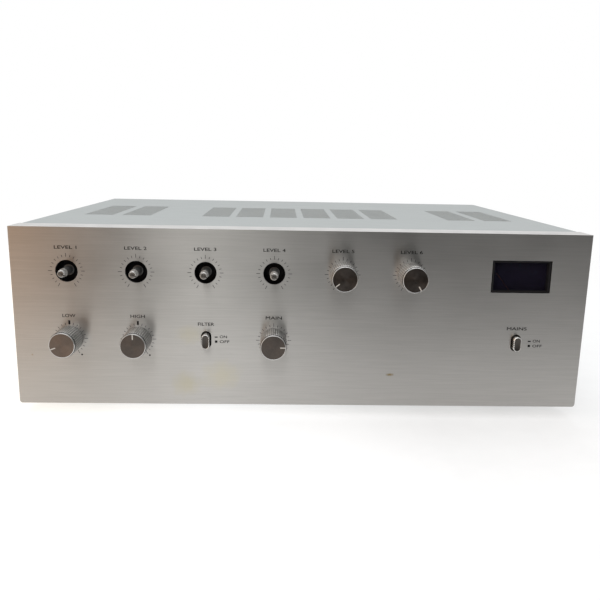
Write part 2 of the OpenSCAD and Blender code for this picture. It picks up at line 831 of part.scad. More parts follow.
// Potentiometer: can behind the inner panel, bushing through it, solder pins to the control board
module pot(p) {
    color([0.6, 0.6, 0.58]) on_face(p[0], p[1]) difference() {
        union() {
            translate([0, 0, mount_face - can_len]) cylinder(d = can_d, h = can_len);
            translate([0, 0, mount_face - eps])
                cylinder(d = bushing_d, h = bushing_front - mount_face + eps);
            for (k = [-1:1])
                translate([k * pin_spread - pin_w / 2, -pin_drop, board_front])
                    cube([pin_w, pin_t, pin_len + eps]);
        }
        translate([0, 0, shaft_end - tip_clear])
            cylinder(r = shaft_r + shaft_play, h = bushing_front - shaft_end + 2 * tip_clear);
    }
}

// Nuts on the bushings, in front of the inner panel
module pot_nuts() {
    color([0.15, 0.15, 0.15]) for (p = pot_places) on_face(p[0], p[1])
        translate([0, 0, -inner_gap]) difference() {
            cylinder(d = nut_w / cos(30), h = nut_h, $fn = 6);
            translate([0, 0, -eps]) cylinder(r = bushing_d / 2 + press_gap, h = nut_h + 2 * eps);
        }
}

// Shaft with a slotted tip and a retaining clip in its groove in front of the bushing
module shaft(p, angle) {
    groove_r = shaft_r - clip_depth;
    color("gainsboro") on_face(p[0], p[1]) rotate([0, 0, -angle]) {
        difference() {
            rotate_extrude() polygon([
                [0, shaft_end], [shaft_r, shaft_end], [shaft_r, clip_start], [groove_r, clip_start],
                [groove_r, clip_start + clip_w], [shaft_r, clip_start + clip_w],
                [shaft_r, shaft_reach - tip_chamfer], [shaft_r - tip_chamfer, shaft_reach],
                [0, shaft_reach]]);
            translate([-shaft_r - eps, -tip_slot_w / 2, shaft_reach - tip_slot_depth])
                cube([shaft_d + 2 * eps, tip_slot_w, tip_slot_depth + eps]);
        }
        translate([0, 0, clip_start + press_gap]) difference() {
            cylinder(r = shaft_r + clip_proud, h = clip_w - 2 * press_gap);
            translate([0, 0, -eps]) cylinder(r = groove_r + press_gap, h = clip_w + 2 * eps);
        }
    }
}

// Knob: turned, with a bevelled face, a fine groove behind its slimmer rim and an index line on face and side
module knob(p, angle) {
    bore_len = shaft_reach + tip_clear - knob_gap;
    groove_z = knob_reach - rim_len - groove_w;
    color([0.55, 0.54, 0.52]) on_face(p[0], p[1]) rotate([0, 0, -angle]) difference() {
        rotate_extrude() polygon([
            [0, knob_gap], [knob_r - knob_edge, knob_gap], [knob_r, knob_gap + knob_edge],
            [knob_r, groove_z - knob_edge], [knob_r - knob_edge, groove_z], [rim_r - groove_depth, groove_z],
            [rim_r - groove_depth, groove_z + groove_w], [rim_r, groove_z + groove_w],
            [rim_r, knob_reach - knob_bevel], [rim_r - knob_bevel, knob_reach], [0, knob_reach]]);
        translate([0, 0, knob_gap - eps]) cylinder(r = shaft_r + press_gap, h = bore_len + eps);
        translate([-index_w / 2, rim_r - index_len, knob_reach - index_depth])
            cube([index_w, index_len + eps, index_depth + eps]);
        translate([-index_w / 2, rim_r - index_depth, groove_z + groove_w / 2])
            cube([index_w, index_depth + eps, knob_reach - groove_z]);
        translate([-index_w / 2, knob_r - index_depth, knob_gap - eps])
            cube([index_w, index_depth + eps, knob_reach - knob_gap + 2 * eps]);
    }
}

// Button: a cap with round ends on a square stem
module button(p, reach) {
    color([0.6, 0.58, 0.55]) on_face(p[0], p[1]) {
        translate([0, 0, reach - cap_len]) linear_extrude(cap_len) stadium(button_w, button_h);
        translate([-stem_w / 2, -stem_w / 2, reach - cap_len - stem_len])
            cube([stem_w, stem_w, stem_len + eps]);
    }
}

// Push switch behind the inner panel, bored for the button's stem
module switch(p) {
    bore_w = stem_w + 2 * stem_play;
    color([0.2, 0.2, 0.22]) on_face(p[0], p[1]) difference() {
        translate([-switch_w / 2, -switch_h / 2, mount_face - switch_len])
            cube([switch_w, switch_h, switch_len]);
        translate([-bore_w / 2, -bore_w / 2, switch_bore_end])
            cube([bore_w, bore_w, mount_face - switch_bore_end + eps]);
    }
}

// Meter pieces, from the front: bezel with a collar in the window, lens, case, needle, dial, movement
module meter_slab(front, t) {
    translate([-meter_w / 2, -meter_h / 2 - meter_drop, front - t]) cube([meter_w, meter_h, t]);
}

module meter_bezel() {
    collar_w = window_w - 2 * case_play;
    collar_h = window_h - 2 * case_play;
    color([0.06, 0.06, 0.06]) on_face(meter_x, meter_row) difference() {
        union() {
            meter_slab(bezel_front, bezel_t);
            translate([-collar_w / 2, -collar_h / 2, lens_front + bezel_t / 2])
                cube([collar_w, collar_h, collar_front - lens_front - bezel_t / 2]);
        }
        translate([-bezel_open_w / 2, -bezel_open_h / 2, lens_front - eps])
            cube([bezel_open_w, bezel_open_h, collar_front - lens_front + 2 * eps]);
    }
}

module meter_lens() {
    color([0.1, 0.1, 0.11, 0.5]) on_face(meter_x, meter_row) meter_slab(lens_front, lens_t);
}

module meter_case() {
    color([0.09, 0.09, 0.09]) on_face(meter_x, meter_row) difference() {
        union() {
            meter_slab(meter_front, meter_back + meter_front);
            translate([-meter_w / 2 - ear_w, -meter_drop - ear_drop - ear_h / 2, mount_face - meter_wall])
                cube([meter_w + 2 * ear_w, ear_h, meter_wall]);
        }
        translate([-meter_in_w / 2, -meter_in_h / 2 - meter_drop, meter_wall - meter_back])
            cube([meter_in_w, meter_in_h, meter_back]);
    }
}

module meter_dial() {
    dial_w = meter_in_w - 2 * case_play;
    dial_h = meter_in_h - 2 * case_play;
    color([0.12, 0.12, 0.12]) on_face(meter_x, meter_row) difference() {
        translate([-dial_w / 2, -dial_h / 2 - meter_drop, dial_back]) cube([dial_w, dial_h, dial_t]);
        translate([0, -pivot_drop, dial_back - eps])
            cylinder(r = pivot_r + case_play, h = dial_t + 2 * eps);
    }
}

module meter_movement() {
    color([0.5, 0.5, 0.5]) on_face(meter_x, meter_row) translate([0, -pivot_drop, 0]) {
        translate([-movement_w / 2, -movement_h / 2, meter_wall - meter_back])
            cube([movement_w, movement_h, meter_back - meter_wall + dial_back]);
        translate([0, 0, dial_back - eps]) cylinder(r = pivot_r, h = pivot_front - dial_back + eps);
    }
}

module meter_needle() {
    color([0.75, 0.38, 0.15]) on_face(meter_x, meter_row) translate([0, -pivot_drop, 0])
        rotate([0, 0, needle_rest]) difference() {
            union() {
                translate([0, 0, hub_back]) cylinder(r = hub_r, h = hub_len);
                translate([-needle_w / 2, -needle_tail, needle_z])
                    cube([needle_w, needle_len + needle_tail, needle_t]);
            }
            translate([0, 0, hub_back - eps]) cylinder(r = pivot_r + shaft_play, h = hub_len + 2 * eps);
        }
}

// Blank plates over the input module bays
module module_plates() {
    color([0.72, 0.74, 0.73]) difference() {
        for (x = module_places)
            block([x - module_w / 2, rear_y, panel_z + module_row - module_h / 2],
                  [x + module_w / 2, rear_y + module_t, panel_z + module_row + module_h / 2]);
        at_module_screws(module_t) screw_hole();
    }
}

// Phono sockets: rim and barrel outside, neck through the rear panel
module phono_sockets() {
    barrel_end = phono_rim_t + phono_len;
    color("gold") for (p = phono_places) on_rear(p[0], p[1]) difference() {
        union() {
            cylinder(r = phono_rim_r, h = phono_rim_t);
            cylinder(d = phono_d, h = barrel_end);
            translate([0, 0, -phono_neck_len])
                cylinder(r = phono_neck_r, h = phono_neck_len + phono_rim_t / 2);
        }
        translate([0, 0, barrel_end - phono_bore_len]) cylinder(r = phono_bore_r, h = phono_bore_len + eps);
    }
}

// Terminal block: a floor with ears and a barrier between terminals
module at_terminals() {
    for (k = [0:terminals - 1])
        on_rear(-terminal_x + (k - (terminals - 1) / 2) * terminal_pitch, terminal_row)
            translate([0, 0, terminal_floor]) children();
}

module terminal_block() {
    low_z = panel_z + terminal_row - terminal_h / 2;
    color([0.08, 0.08, 0.08]) difference() {
        union() {
            block([-terminal_x - block_len / 2 - block_ear, rear_y, low_z],
                  [-terminal_x + block_len / 2 + block_ear, rear_y + block_ear_t, low_z + terminal_h]);
            block([-terminal_x - block_len / 2, rear_y, low_z],
                  [-terminal_x + block_len / 2, rear_y + terminal_floor, low_z + terminal_h]);
            for (k = [0:terminals])
                translate([-terminal_x - block_len / 2 + k * terminal_pitch, rear_y, low_z])
                    cube([barrier_t, terminal_reach, terminal_h]);
        }
        at_terminals() translate([0, 0, -terminal_screw_len - eps])
            cylinder(r = screw_r + press_gap, h = terminal_screw_len + 2 * eps);
        at_block_screws(block_ear_t) screw_hole();
    }
}

module terminal_screws() {
    color([0.75, 0.7, 0.5]) at_terminals() difference() {
        union() {
            cylinder(r = terminal_head_r, h = terminal_head_h);
            translate([0, 0, -terminal_screw_len]) cylinder(r = screw_r, h = terminal_screw_len + eps);
        }
        translate([-terminal_head_r - eps, -cross_w / 2, terminal_head_h - cross_depth])
            cube([2 * terminal_head_r + 2 * eps, cross_w, cross_depth + eps]);
    }
}

// Fuse holder through the rear panel, and its cap that a part turn frees
module fuse_holder() {
    color([0.07, 0.07, 0.07]) on_rear(-fuse_x, fuse_row) difference() {
        union() {
            cylinder(r = fuse_rim_r, h = fuse_rim_t);
            translate([0, 0, -fuse_len]) cylinder(d = fuse_d, h = fuse_len + fuse_rim_t / 2);
        }
        translate([0, 0, fuse_rim_t - fuse_bore_len]) cylinder(r = fuse_bore_r, h = fuse_bore_len + eps);
    }
}

module fuse_cap() {
    shank_r = fuse_bore_r - shaft_play;
    color([0.1, 0.1, 0.1]) on_rear(-fuse_x, fuse_row) translate([0, 0, fuse_rim_t + hole_play])
        difference() {
            union() {
                cylinder(r = fuse_head_r, h = fuse_head_len);
                translate([0, 0, -fuse_shank_len]) cylinder(r = shank_r, h = fuse_shank_len + eps);
            }
            translate([-fuse_head_r - eps, -fuse_grip_w / 2, fuse_head_len - fuse_grip_depth])
                cube([2 * fuse_head_r + 2 * eps, fuse_grip_w, fuse_grip_depth + eps]);
        }
}

// Mains inlet: flange and body with a recess that has two bevelled corners, and three blades
module inlet_recess() {
    w = inlet_open_w / 2;
    h = inlet_open_h / 2;
    polygon([[-w, -h], [w, -h], [w, h - inlet_chamfer], [w - inlet_chamfer, h],
             [inlet_chamfer - w, h], [-w, h - inlet_chamfer]]);
}

module mains_inlet() {
    floor_z = inlet_flange_t - inlet_open_len;
    color([0.06, 0.06, 0.06]) on_rear(-inlet_x, inlet_row) {
        difference() {
            union() {
                translate([-inlet_flange_w / 2, -inlet_flange_h / 2, 0])
                    cube([inlet_flange_w, inlet_flange_h, inlet_flange_t]);
                translate([-inlet_body_w / 2, -inlet_body_h / 2, -inlet_len])
                    cube([inlet_body_w, inlet_body_h, inlet_len + eps]);
            }
            translate([0, 0, floor_z]) linear_extrude(inlet_open_len + eps) inlet_recess();
            for (s = [-1, 1]) translate([s * inlet_screw_x, 0, 0]) screw_hole();
        }
        for (b = [[-blade_x, -line_blade_drop], [blade_x, -line_blade_drop], [0, earth_blade_rise]])
            translate([b[0] - blade_w / 2, b[1] - blade_h / 2, floor_z - eps])
                cube([blade_w, blade_h, blade_len + eps]);
    }
}

// Transformer core: a laminated frame with two windows and a foot plate on each side
module core(x, y, w, h, stack) {
    leg = w / 3;
    window = w / 6;
    color([0.25, 0.25, 0.27]) translate([x, y, tray_top]) difference() {
        union() {
            translate([-w / 2, -stack / 2, 0]) cube([w, stack, h]);
            translate([-w / 2 - foot_plate_w, -stack / 2, 0])
                cube([w + 2 * foot_plate_w, stack, foot_plate_t]);
        }
        for (s = [-1, 1]) translate([s * (leg + window) / 2 - window / 2, -stack / 2 - eps, window])
            cube([window, stack + 2 * eps, h - 2 * window]);
        at_base_screws(core_screws(0, 0, w, stack), foot_plate_t) screw_hole();
    }
}

// Winding on the core's middle leg
module winding(x, y, w, h, stack) {
    leg = w / 3;
    window = w / 6;
    thick = window - 2 * coil_gap;
    tall = h - 2 * window - 2 * coil_gap;
    inner = [leg + 2 * coil_gap, stack + 2 * coil_gap];
    color([0.75, 0.55, 0.2]) translate([x, y, tray_top + window + coil_gap])
        linear_extrude(tall) difference() {
            square([inner[0] + 2 * thick, inner[1] + 2 * thick], center = true);
            square(inner, center = true);
        }
}
module mains_core() { core(mains_x, mains_y, mains_w, mains_h, mains_stack); }
module mains_winding() { winding(mains_x, mains_y, mains_w, mains_h, mains_stack); }
module output_core() { core(output_x, output_y, output_w, output_h, output_stack); }
module output_winding() { winding(output_x, output_y, output_w, output_h, output_stack); }

// Main circuit board on the base's bosses
module main_board() {
    color([0.15, 0.35, 0.2]) difference() {
        translate([board_x, board_y, board_z]) cube([board_w, board_d, board_t]);
        at_base_screws(boss_places, board_z + board_t) screw_hole();
    }
}

// Control circuit board, soldered to the potentiometers' pins
module control_board() {
    low_x = control_x(0) - control_board_edge;
    high_x = control_x(5) + control_board_edge;
    low_z = panel_z + lower_row - control_board_edge;
    high_z = panel_z + upper_row + control_board_edge / 2;
    board_y0 = face_y - board_front;
    color([0.3, 0.2, 0.1]) difference() {
        block([low_x, board_y0, low_z], [high_x, board_y0 + board_t, high_z]);
        on_face(tone_x, lower_row)
            translate([0, 0, board_front])
                cube([switch_w + 2 * switch_room, switch_h + 2 * switch_room, 4 * board_t], center = true);
    }
}

// Filter capacitors on the main circuit board
module filter_capacitors() {
    color([0.15, 0.2, 0.35]) for (k = [0:1])
        translate([board_x + board_w / 2 + (k - 0.5) * (capacitor_d + capacitor_gap),
                   board_y + board_d - 2 * boss_edge - capacitor_d / 2, board_z + board_t])
            cylinder(d = capacitor_d, h = capacitor_h);
}

// Heat sink: an upright back with fins towards the side panel, and a foot
module heat_sink() {
    fin_pitch = (sink_len - fin_t) / (fins - 1);
    color([0.12, 0.12, 0.13]) difference() {
        union() {
            translate([0, 0, tray_top]) linear_extrude(sink_h) union() {
                translate([sink_x, sink_y]) square([sink_back, sink_len]);
                for (k = [0:fins - 1])
                    translate([sink_x + sink_back / 2, sink_y + k * fin_pitch])
                        square([fin_len + sink_back / 2, fin_t]);
            }
            translate([sink_x - sink_foot_w, sink_y, tray_top])
                cube([sink_foot_w + eps, sink_len, sink_foot_t]);
        }
        at_base_screws(sink_screw_places, tray_top + sink_foot_t) screw_hole();
    }
}

// Power transistors on the heat sink's back: a pointed flange and a round can
module power_transistors() {
    flange_half = 12;
    flange_tip = 19;
    flange_shoulder = 5;
    color("gainsboro") for (k = [0:transistors - 1])
        translate([sink_x, sink_y + (k + 0.5) * sink_len / transistors, tray_top + transistor_rise])
            rotate([0, -90, 0]) {
                linear_extrude(transistor_t) polygon([
                    [flange_tip, 0], [flange_shoulder, flange_half], [-flange_shoulder, flange_half],
                    [-flange_tip, 0], [-flange_shoulder, -flange_half], [flange_shoulder, -flange_half]]);
                cylinder(r = transistor_can_r, h = transistor_t + transistor_can_h);
            }
}

front_panel();
inner_panel();
base_tray();
side_panel_left();
side_panel_right();
rear_panel();
top_cover();
rubber_feet();
foot_screws();
case_screws();
for (k = [1:6]) pot(pot_places[k - 1]);
pot(pot_places[6]);  // bass_pot
pot(pot_places[7]);  // treble_pot
pot(pot_places[8]);  // master_pot
for (k = [1:6])
    shaft(pot_places[k - 1], input_angles[k - 1]);
shaft(pot_places[6], bass_angle);  // bass_shaft
shaft(pot_places[7], treble_angle);  // treble_shaft
shaft(pot_places[8], master_angle);  // master_shaft
knob(pot_places[4], input_5_angle);  // input_knob_5
knob(pot_places[5], input_6_angle);  // input_knob_6
knob(pot_places[6], bass_angle);  // bass_knob
knob(pot_places[7], treble_angle);  // treble_knob
knob(pot_places[8], master_angle);  // master_knob
pot_nuts();
button(switch_places[0], released_reach);  // tone_button
button(switch_places[1], power_reach);  // power_button
switch(switch_places[0]);  // tone_switch
switch(switch_places[1]);  // power_switch
meter_case();
meter_bezel();
meter_lens();
meter_dial();
meter_movement();
meter_needle();
module_plates();
phono_sockets();
terminal_block();
terminal_screws();
fuse_holder();
fuse_cap();
mains_inlet();
mains_core();
mains_winding();
output_core();
output_winding();
main_board();
control_board();
filter_capacitors();
heat_sink();
power_transistors();
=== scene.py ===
"""Looks of the mixer amplifier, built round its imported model.

All sizes are in metres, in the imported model's own frame: x to the viewer's right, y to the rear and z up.
"""

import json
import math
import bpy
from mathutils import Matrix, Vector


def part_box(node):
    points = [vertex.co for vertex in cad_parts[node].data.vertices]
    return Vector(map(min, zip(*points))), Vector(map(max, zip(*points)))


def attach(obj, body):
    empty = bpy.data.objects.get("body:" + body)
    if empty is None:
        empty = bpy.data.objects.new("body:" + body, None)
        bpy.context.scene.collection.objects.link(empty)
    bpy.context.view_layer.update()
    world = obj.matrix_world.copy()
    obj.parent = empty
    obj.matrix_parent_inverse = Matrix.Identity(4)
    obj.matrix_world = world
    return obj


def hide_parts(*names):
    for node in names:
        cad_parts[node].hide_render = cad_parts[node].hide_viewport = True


bl_info = {
    "name": "Mixer Amplifier Looks",
    "version": (1, 0, 0),
    "blender": (4, 5, 0),
    "location": "3D View > Sidebar > Amplifier",
    "description": "Finishes, turned knobs, printed marks, meter and rear fittings of a mixer amplifier",
    "category": "Object",
}

import bmesh
import bpy
from bpy.props import FloatProperty, FloatVectorProperty, IntProperty, PointerProperty
from mathutils import Matrix, Vector

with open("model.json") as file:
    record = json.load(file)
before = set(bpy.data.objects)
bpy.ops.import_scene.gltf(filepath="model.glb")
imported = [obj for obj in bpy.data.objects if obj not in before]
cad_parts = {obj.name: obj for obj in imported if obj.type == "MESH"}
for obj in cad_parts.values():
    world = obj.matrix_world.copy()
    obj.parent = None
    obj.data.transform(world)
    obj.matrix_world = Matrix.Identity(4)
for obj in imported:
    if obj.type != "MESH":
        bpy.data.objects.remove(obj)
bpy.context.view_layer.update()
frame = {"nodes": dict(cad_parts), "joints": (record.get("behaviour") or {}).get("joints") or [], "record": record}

MM = 0.001
NODE_BODY = {node: body for body, nodes in frame["record"]["behaviour"]["bodies"].items() for node in nodes}
JOINT = {joint["child"]: joint for joint in frame["joints"]}

# Planes that the printed marks and the turned pieces are measured from
FACE_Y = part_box("front_panel")[0].y
REAR_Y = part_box("rear_panel")[1].y

# Thickness of the ink, distance within which points are one, and limits for flat and sharp edges
INK = 0.02 * MM
WELD = 0.001 * MM
FLAT_ANGLE = math.radians(0.5)
SHARP_ANGLE = math.radians(35)

# Turn of every dial, from the main level control's joint
DIAL_SWEEP = math.radians(JOINT["master"]["range_deg"][1] - JOINT["master"]["range_deg"][0])

# Range that most of a noise's values lie in
NOISE_LOW = 0.3
NOISE_HIGH = 0.7

# Slots of the finishes on pieces that have several
PANEL_EDGE, PANEL_FLANGE, PANEL_BORE = range(1, 4)
KNOB_SIDE, KNOB_RIM, KNOB_FACE, KNOB_INDEX, KNOB_GROOVE, KNOB_VALLEY = range(6)
SHAFT_STEEL, SHAFT_RIM, SHAFT_TIP, SHAFT_SHADE = range(4)
BUTTON_SIDE, BUTTON_BEVEL, BUTTON_FACE, BUTTON_GROOVE = range(4)

# Options that the settings share
LENGTH = {"unit": "LENGTH", "precision": 5, "min": 0.0}
COLOUR = {"subtype": "COLOR", "min": 0.0, "max": 1.0}


# Settings that a user would change

class CaseSettings(bpy.types.PropertyGroup):
    """Finish of the folded sheets, the feet and the screws."""
    paint: FloatVectorProperty(
        name="Paint", description="Colour of the paint on lid, sides, base and rear panel",
        default=(0.378, 0.404, 0.404), **COLOUR)
    sheet_edge: FloatProperty(
        name="Sheet edge", description="Rounding of the sheets' edges", default=0.3 * MM, **LENGTH)


class PanelSettings(bpy.types.PropertyGroup):
    """Finish of the front panel."""
    metal: FloatVectorProperty(
        name="Metal", description="Colour of the brushed aluminium",
        default=(0.466, 0.453, 0.434), **COLOUR)
    edge: FloatProperty(
        name="Edge", description="Width of the bright cut along edges and holes",
        default=0.45 * MM, **LENGTH)
    rim: FloatProperty(
        name="Rim", description="Width along the outline that holds no hole", default=5.0 * MM, **LENGTH)
    strokes: FloatProperty(
        name="Brush strokes", description="Brush strokes to the metre, counted up the panel",
        min=50.0, default=1300.0)


class MarkSettings(bpy.types.PropertyGroup):
    """Printed words and dial scales."""
    ink: FloatVectorProperty(
        name="Ink", description="Colour of the printed marks", default=(0.02, 0.02, 0.022), **COLOUR)
    label_height: FloatProperty(
        name="Label height", description="Height of the capitals over each control",
        default=2.4 * MM, **LENGTH)
    label_rise: FloatProperty(
        name="Label rise", description="From a dial's middle up to its label", default=17.1 * MM, **LENGTH)
    tick_width: FloatProperty(
        name="Tick width", description="Width of a dial's thin ticks", default=0.42 * MM, **LENGTH)
    tick_start: FloatProperty(
        name="Tick start", description="Radius where the ticks start", default=10.3 * MM, **LENGTH)
    tick_end: FloatProperty(
        name="Tick end", description="Radius where the short ticks end", default=11.9 * MM, **LENGTH)
    ticks: IntProperty(
        name="Ticks", description="Ticks round each dial", min=2, default=21)


class KnobSettings(bpy.types.PropertyGroup):
    """Turned knobs."""
    ribs: IntProperty(
        name="Ribs", description="Fine ribs round the side", min=8, default=38)
    rib_depth: FloatProperty(
        name="Rib depth", description="Depth between two ribs", default=0.32 * MM, **LENGTH)
    rim: FloatProperty(
        name="Rim", description="Length of the plain rim in front of the groove",
        default=1.4 * MM, **LENGTH)
    rim_step: FloatProperty(
        name="Rim step", description="How much smaller the rim is than the side, in radius",
        default=0.6 * MM, **LENGTH)
    groove: FloatProperty(
        name="Groove", description="Width and depth of the groove behind the rim",
        default=0.45 * MM, **LENGTH)
    bevel: FloatProperty(
        name="Bevel", description="Bright bevel round the face", default=0.32 * MM, **LENGTH)
    index_width: FloatProperty(
        name="Index width", description="Width of the index line", default=0.7 * MM, **LENGTH)
    index_length: FloatProperty(
        name="Index length", description="Length of the index line on the face", default=4.2 * MM, **LENGTH)
    face: FloatVectorProperty(
        name="Face", description="Colour of the spun face", default=(0.1, 0.086, 0.077), **COLOUR)
    # The low tone knob's face is lighter than the others: a painted reflection
    painted_sheen_face: FloatVectorProperty(
        name="Face with painted sheen", description="Colour of the low tone knob's face, lighter as a painted sheen",
        default=(0.15, 0.12, 0.102), **COLOUR)
    side: FloatVectorProperty(
        name="Side", description="Colour of the ribbed side", default=(0.56, 0.556, 0.546), **COLOUR)
    index: FloatVectorProperty(
        name="Index", description="Colour of the index line", default=(0.66, 0.64, 0.6), **COLOUR)


class ShaftSettings(bpy.types.PropertyGroup):
    """Bare control shafts."""
    radius: FloatProperty(
        name="Radius", description="Radius of the shaft", default=3.0 * MM, **LENGTH)
    slot_width: FloatProperty(
        name="Slot width", description="Width of the slot in the tip", default=1.0 * MM, **LENGTH)
    slot_depth: FloatProperty(
        name="Slot depth", description="Depth of the slot in the tip", default=5.0 * MM, **LENGTH)
    tip_step: FloatProperty(
        name="Tip step", description="How much the toothed tip is smaller than the shaft, in radius",
        default=0.2 * MM, **LENGTH)
    crown: FloatProperty(
        name="Crown", description="How much the tip narrows behind its chamfer, in radius",
        default=0.3 * MM, **LENGTH)
    chamfer: FloatProperty(
        name="Chamfer", description="Chamfer round the tip", default=0.45 * MM, **LENGTH)
    teeth: IntProperty(
        name="Teeth", description="Fine teeth round the split tip", min=6, default=22)
    tooth_depth: FloatProperty(
        name="Tooth depth", description="Depth of the teeth", default=0.16 * MM, **LENGTH)


class ButtonSettings(bpy.types.PropertyGroup):
    """Push buttons with round ends."""
    width: FloatProperty(
        name="Width", description="Width of a button", default=5.6 * MM, **LENGTH)
    height: FloatProperty(
        name="Height", description="Height of a button", default=11.0 * MM, **LENGTH)
    depth: FloatProperty(
        name="Depth", description="Depth of a button's cap", default=11.5 * MM, **LENGTH)
    stem: FloatProperty(
        name="Stem", description="Width of the square stem", default=3.0 * MM, **LENGTH)
    bevel: FloatProperty(
        name="Bevel", description="Bright bevel round the face", default=0.36 * MM, **LENGTH)
    ridge: FloatProperty(
        name="Ridge", description="Pitch of the fine ridges on the sides", default=1.1 * MM, **LENGTH)
    face: FloatVectorProperty(
        name="Face", description="Colour of the button's face", default=(0.08, 0.073, 0.067), **COLOUR)


class MeterSettings(bpy.types.PropertyGroup):
    """Level meter behind the panel's window."""
    smoke: FloatProperty(
        name="Smoke", description="How much the lens hides", min=0.0, max=1.0, default=0.5)
    scale: FloatVectorProperty(
        name="Scale", description="Colour of the scale's marks", default=(0.05, 0.2, 0.19), **COLOUR)
    needle: FloatVectorProperty(
        name="Needle", description="Colour of the needle", default=(0.62, 0.3, 0.12), **COLOUR)
    divisions: IntProperty(
        name="Divisions", description="Divisions of the scale", min=2, default=20)


class StageSettings(bpy.types.PropertyGroup):
    """Floor, light and camera."""
    floor: FloatVectorProperty(
        name="Floor", description="Colour of the floor", default=(0.42, 0.42, 0.42), **COLOUR)
    glow: FloatProperty(
        name="Glow", description="How bright the floor is by itself", min=0.0, default=0.51)
    key_power: FloatProperty(
        name="Key power", description="Power of the soft light overhead",
        unit="POWER", min=0.0, default=17.0)
    front_power: FloatProperty(
        name="Front power", description="Power of the soft light high in front",
        unit="POWER", min=0.0, default=3.5)
    place: FloatVectorProperty(
        name="Camera place", description="Where the camera stands",
        subtype="TRANSLATION", unit="LENGTH", default=(-0.017613, -0.623577, 0.194585))
    tilt: FloatProperty(
        name="Tilt", description="How far the camera looks down",
        subtype="ANGLE", default=math.radians(12.285))
    turn: FloatProperty(
        name="Turn", description="How far the camera turns to its right",
        subtype="ANGLE", default=math.radians(1.86))
    roll: FloatProperty(
        name="Roll", description="How far the camera leans",
        subtype="ANGLE", default=math.radians(1.129))
    lens: FloatProperty(
        name="Lens", description="Focal length on a 36 mm wide sensor, in millimetres",
        min=1.0, default=39.84)


# Places

def panel_place(x, z, out=0.0):
    """A place on the front panel: x right, y up, z out towards the viewer."""
    return Matrix(((1, 0, 0, x), (0, 0, -1, FACE_Y - out), (0, 1, 0, z), (0, 0, 0, 1)))


def rear_place(x, z, out=0.0):
    """A place on the rear panel as seen from behind: x right, y up, z out of the panel."""
    return Matrix(((-1, 0, 0, x), (0, 0, 1, REAR_Y + out), (0, 1, 0, z), (0, 0, 0, 1)))


def middle(node):
    """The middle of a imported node's box."""
    low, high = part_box(node)
    return (low + high) / 2


def reach(node):
    """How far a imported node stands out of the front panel."""
    return FACE_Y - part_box(node)[0].y


def rest_angle(body):
    """How far clockwise from the top a dial points at rest, from the two ends of its turn."""
    low, high = JOINT[body]["range_deg"]
    return math.radians(-(high - low) / 2 - low)


# Finishes

def set_sockets(node, values):
    """Gives each of these sockets its value, or links it where the value is another node's output."""
    for socket, value in values.items():
        if isinstance(value, bpy.types.NodeSocket):
            node.id_data.links.new(value, node.inputs[socket])
        else:
            node.inputs[socket].default_value = value


def add_node(tree, kind, values, **options):
    """Adds a node and sets its options, and then its sockets."""
    node = tree.nodes.new(kind)
    for name, option in options.items():
        setattr(node, name, option)
    set_sockets(node, values)
    return node


def start_finish(name, constants):
    """Makes a finish with these constants on its shader; returns it with its nodes and its shader."""
    finish = bpy.data.materials.new(name)
    finish.use_nodes = True
    shader = finish.node_tree.nodes["Principled BSDF"]
    set_sockets(shader, constants)
    return finish, finish.node_tree, shader


def object_place(tree, scale):
    """The surface's own coordinates, scaled along each axis."""
    own = add_node(tree, "ShaderNodeTexCoord", {}).outputs["Object"]
    return add_node(tree, "ShaderNodeMapping", {"Vector": own, "Scale": scale}).outputs["Vector"]


def grain(tree, cells, stretch=(1.0, 1.0, 1.0), detail=3.0):
    """Noise with so many cells to the metre along each axis."""
    place = object_place(tree, [cells * share for share in stretch])
    values = {"Vector": place, "Scale": 1.0, "Detail": detail}
    return add_node(tree, "ShaderNodeTexNoise", values).outputs["Fac"]


def spread(tree, value, low, high, start=NOISE_LOW, end=NOISE_HIGH):
    """Spreads a value's range from start to end over low to high."""
    values = {"Value": value, "From Min": start, "From Max": end, "To Min": low, "To Max": high}
    return add_node(tree, "ShaderNodeMapRange", values).outputs["Result"]


def work_out(tree, operation, first, second):
    """Arithmetic on two values; the second may be a plain number."""
    return add_node(tree, "ShaderNodeMath", {0: first, 1: second}, operation=operation).outputs["Value"]


def blend(tree, first, second, share=0.6):
    """The sum of a share of one value and the rest of another."""
    rest = work_out(tree, "MULTIPLY", second, 1.0 - share)
    return work_out(tree, "ADD", work_out(tree, "MULTIPLY", first, share), rest)


def from_middle(tree):
    """The distance from the z axis of the piece."""
    flat = object_place(tree, (1.0, 1.0, 0.0))
    return add_node(tree, "ShaderNodeVectorMath", {0: flat}, operation="LENGTH").outputs["Value"]


def between(tree, value, dark, light):
    """A colour between dark and light, picked by a value."""
    node = add_node(tree, "ShaderNodeValToRGB", {"Fac": value})
    first, last = node.color_ramp.elements
    first.position = NOISE_LOW
    last.position = NOISE_HIGH
    first.color = (*dark, 1.0)
    last.color = (*light, 1.0)
    return node.outputs["Color"]


def turned_to(tree, mask, colour, other):
    """A colour that turns to another where the mask is one."""
    values = {"Factor": mask, "A": colour, "B": (*other, 1.0)}
    return add_node(tree, "ShaderNodeMix", values, data_type="RGBA").outputs["Result"]


def spot(tree, centre, size, strength):
    """A soft-edged mask round a point, with a different size along each axis."""
    scale = [1.0 / length for length in size]
    wobbles = 2.5
    full = 0.7
    gone = 1.6
    wobble = grain(tree, wobbles * scale[0], detail=4.0)
    values = {0: object_place(tree, scale), 1: [place * share for place, share in zip(centre, scale)]}
    away = add_node(tree, "ShaderNodeVectorMath", values, operation="DISTANCE").outputs["Value"]
    return spread(tree, work_out(tree, "ADD", away, wobble), strength, 0.0, full, gone)


def press(tree, value, depth, strength=1.0):
    """A surface that is bumped by a value."""
    values = {"Height": value, "Distance": depth, "Strength": strength}
    return add_node(tree, "ShaderNodeBump", values).outputs["Normal"]


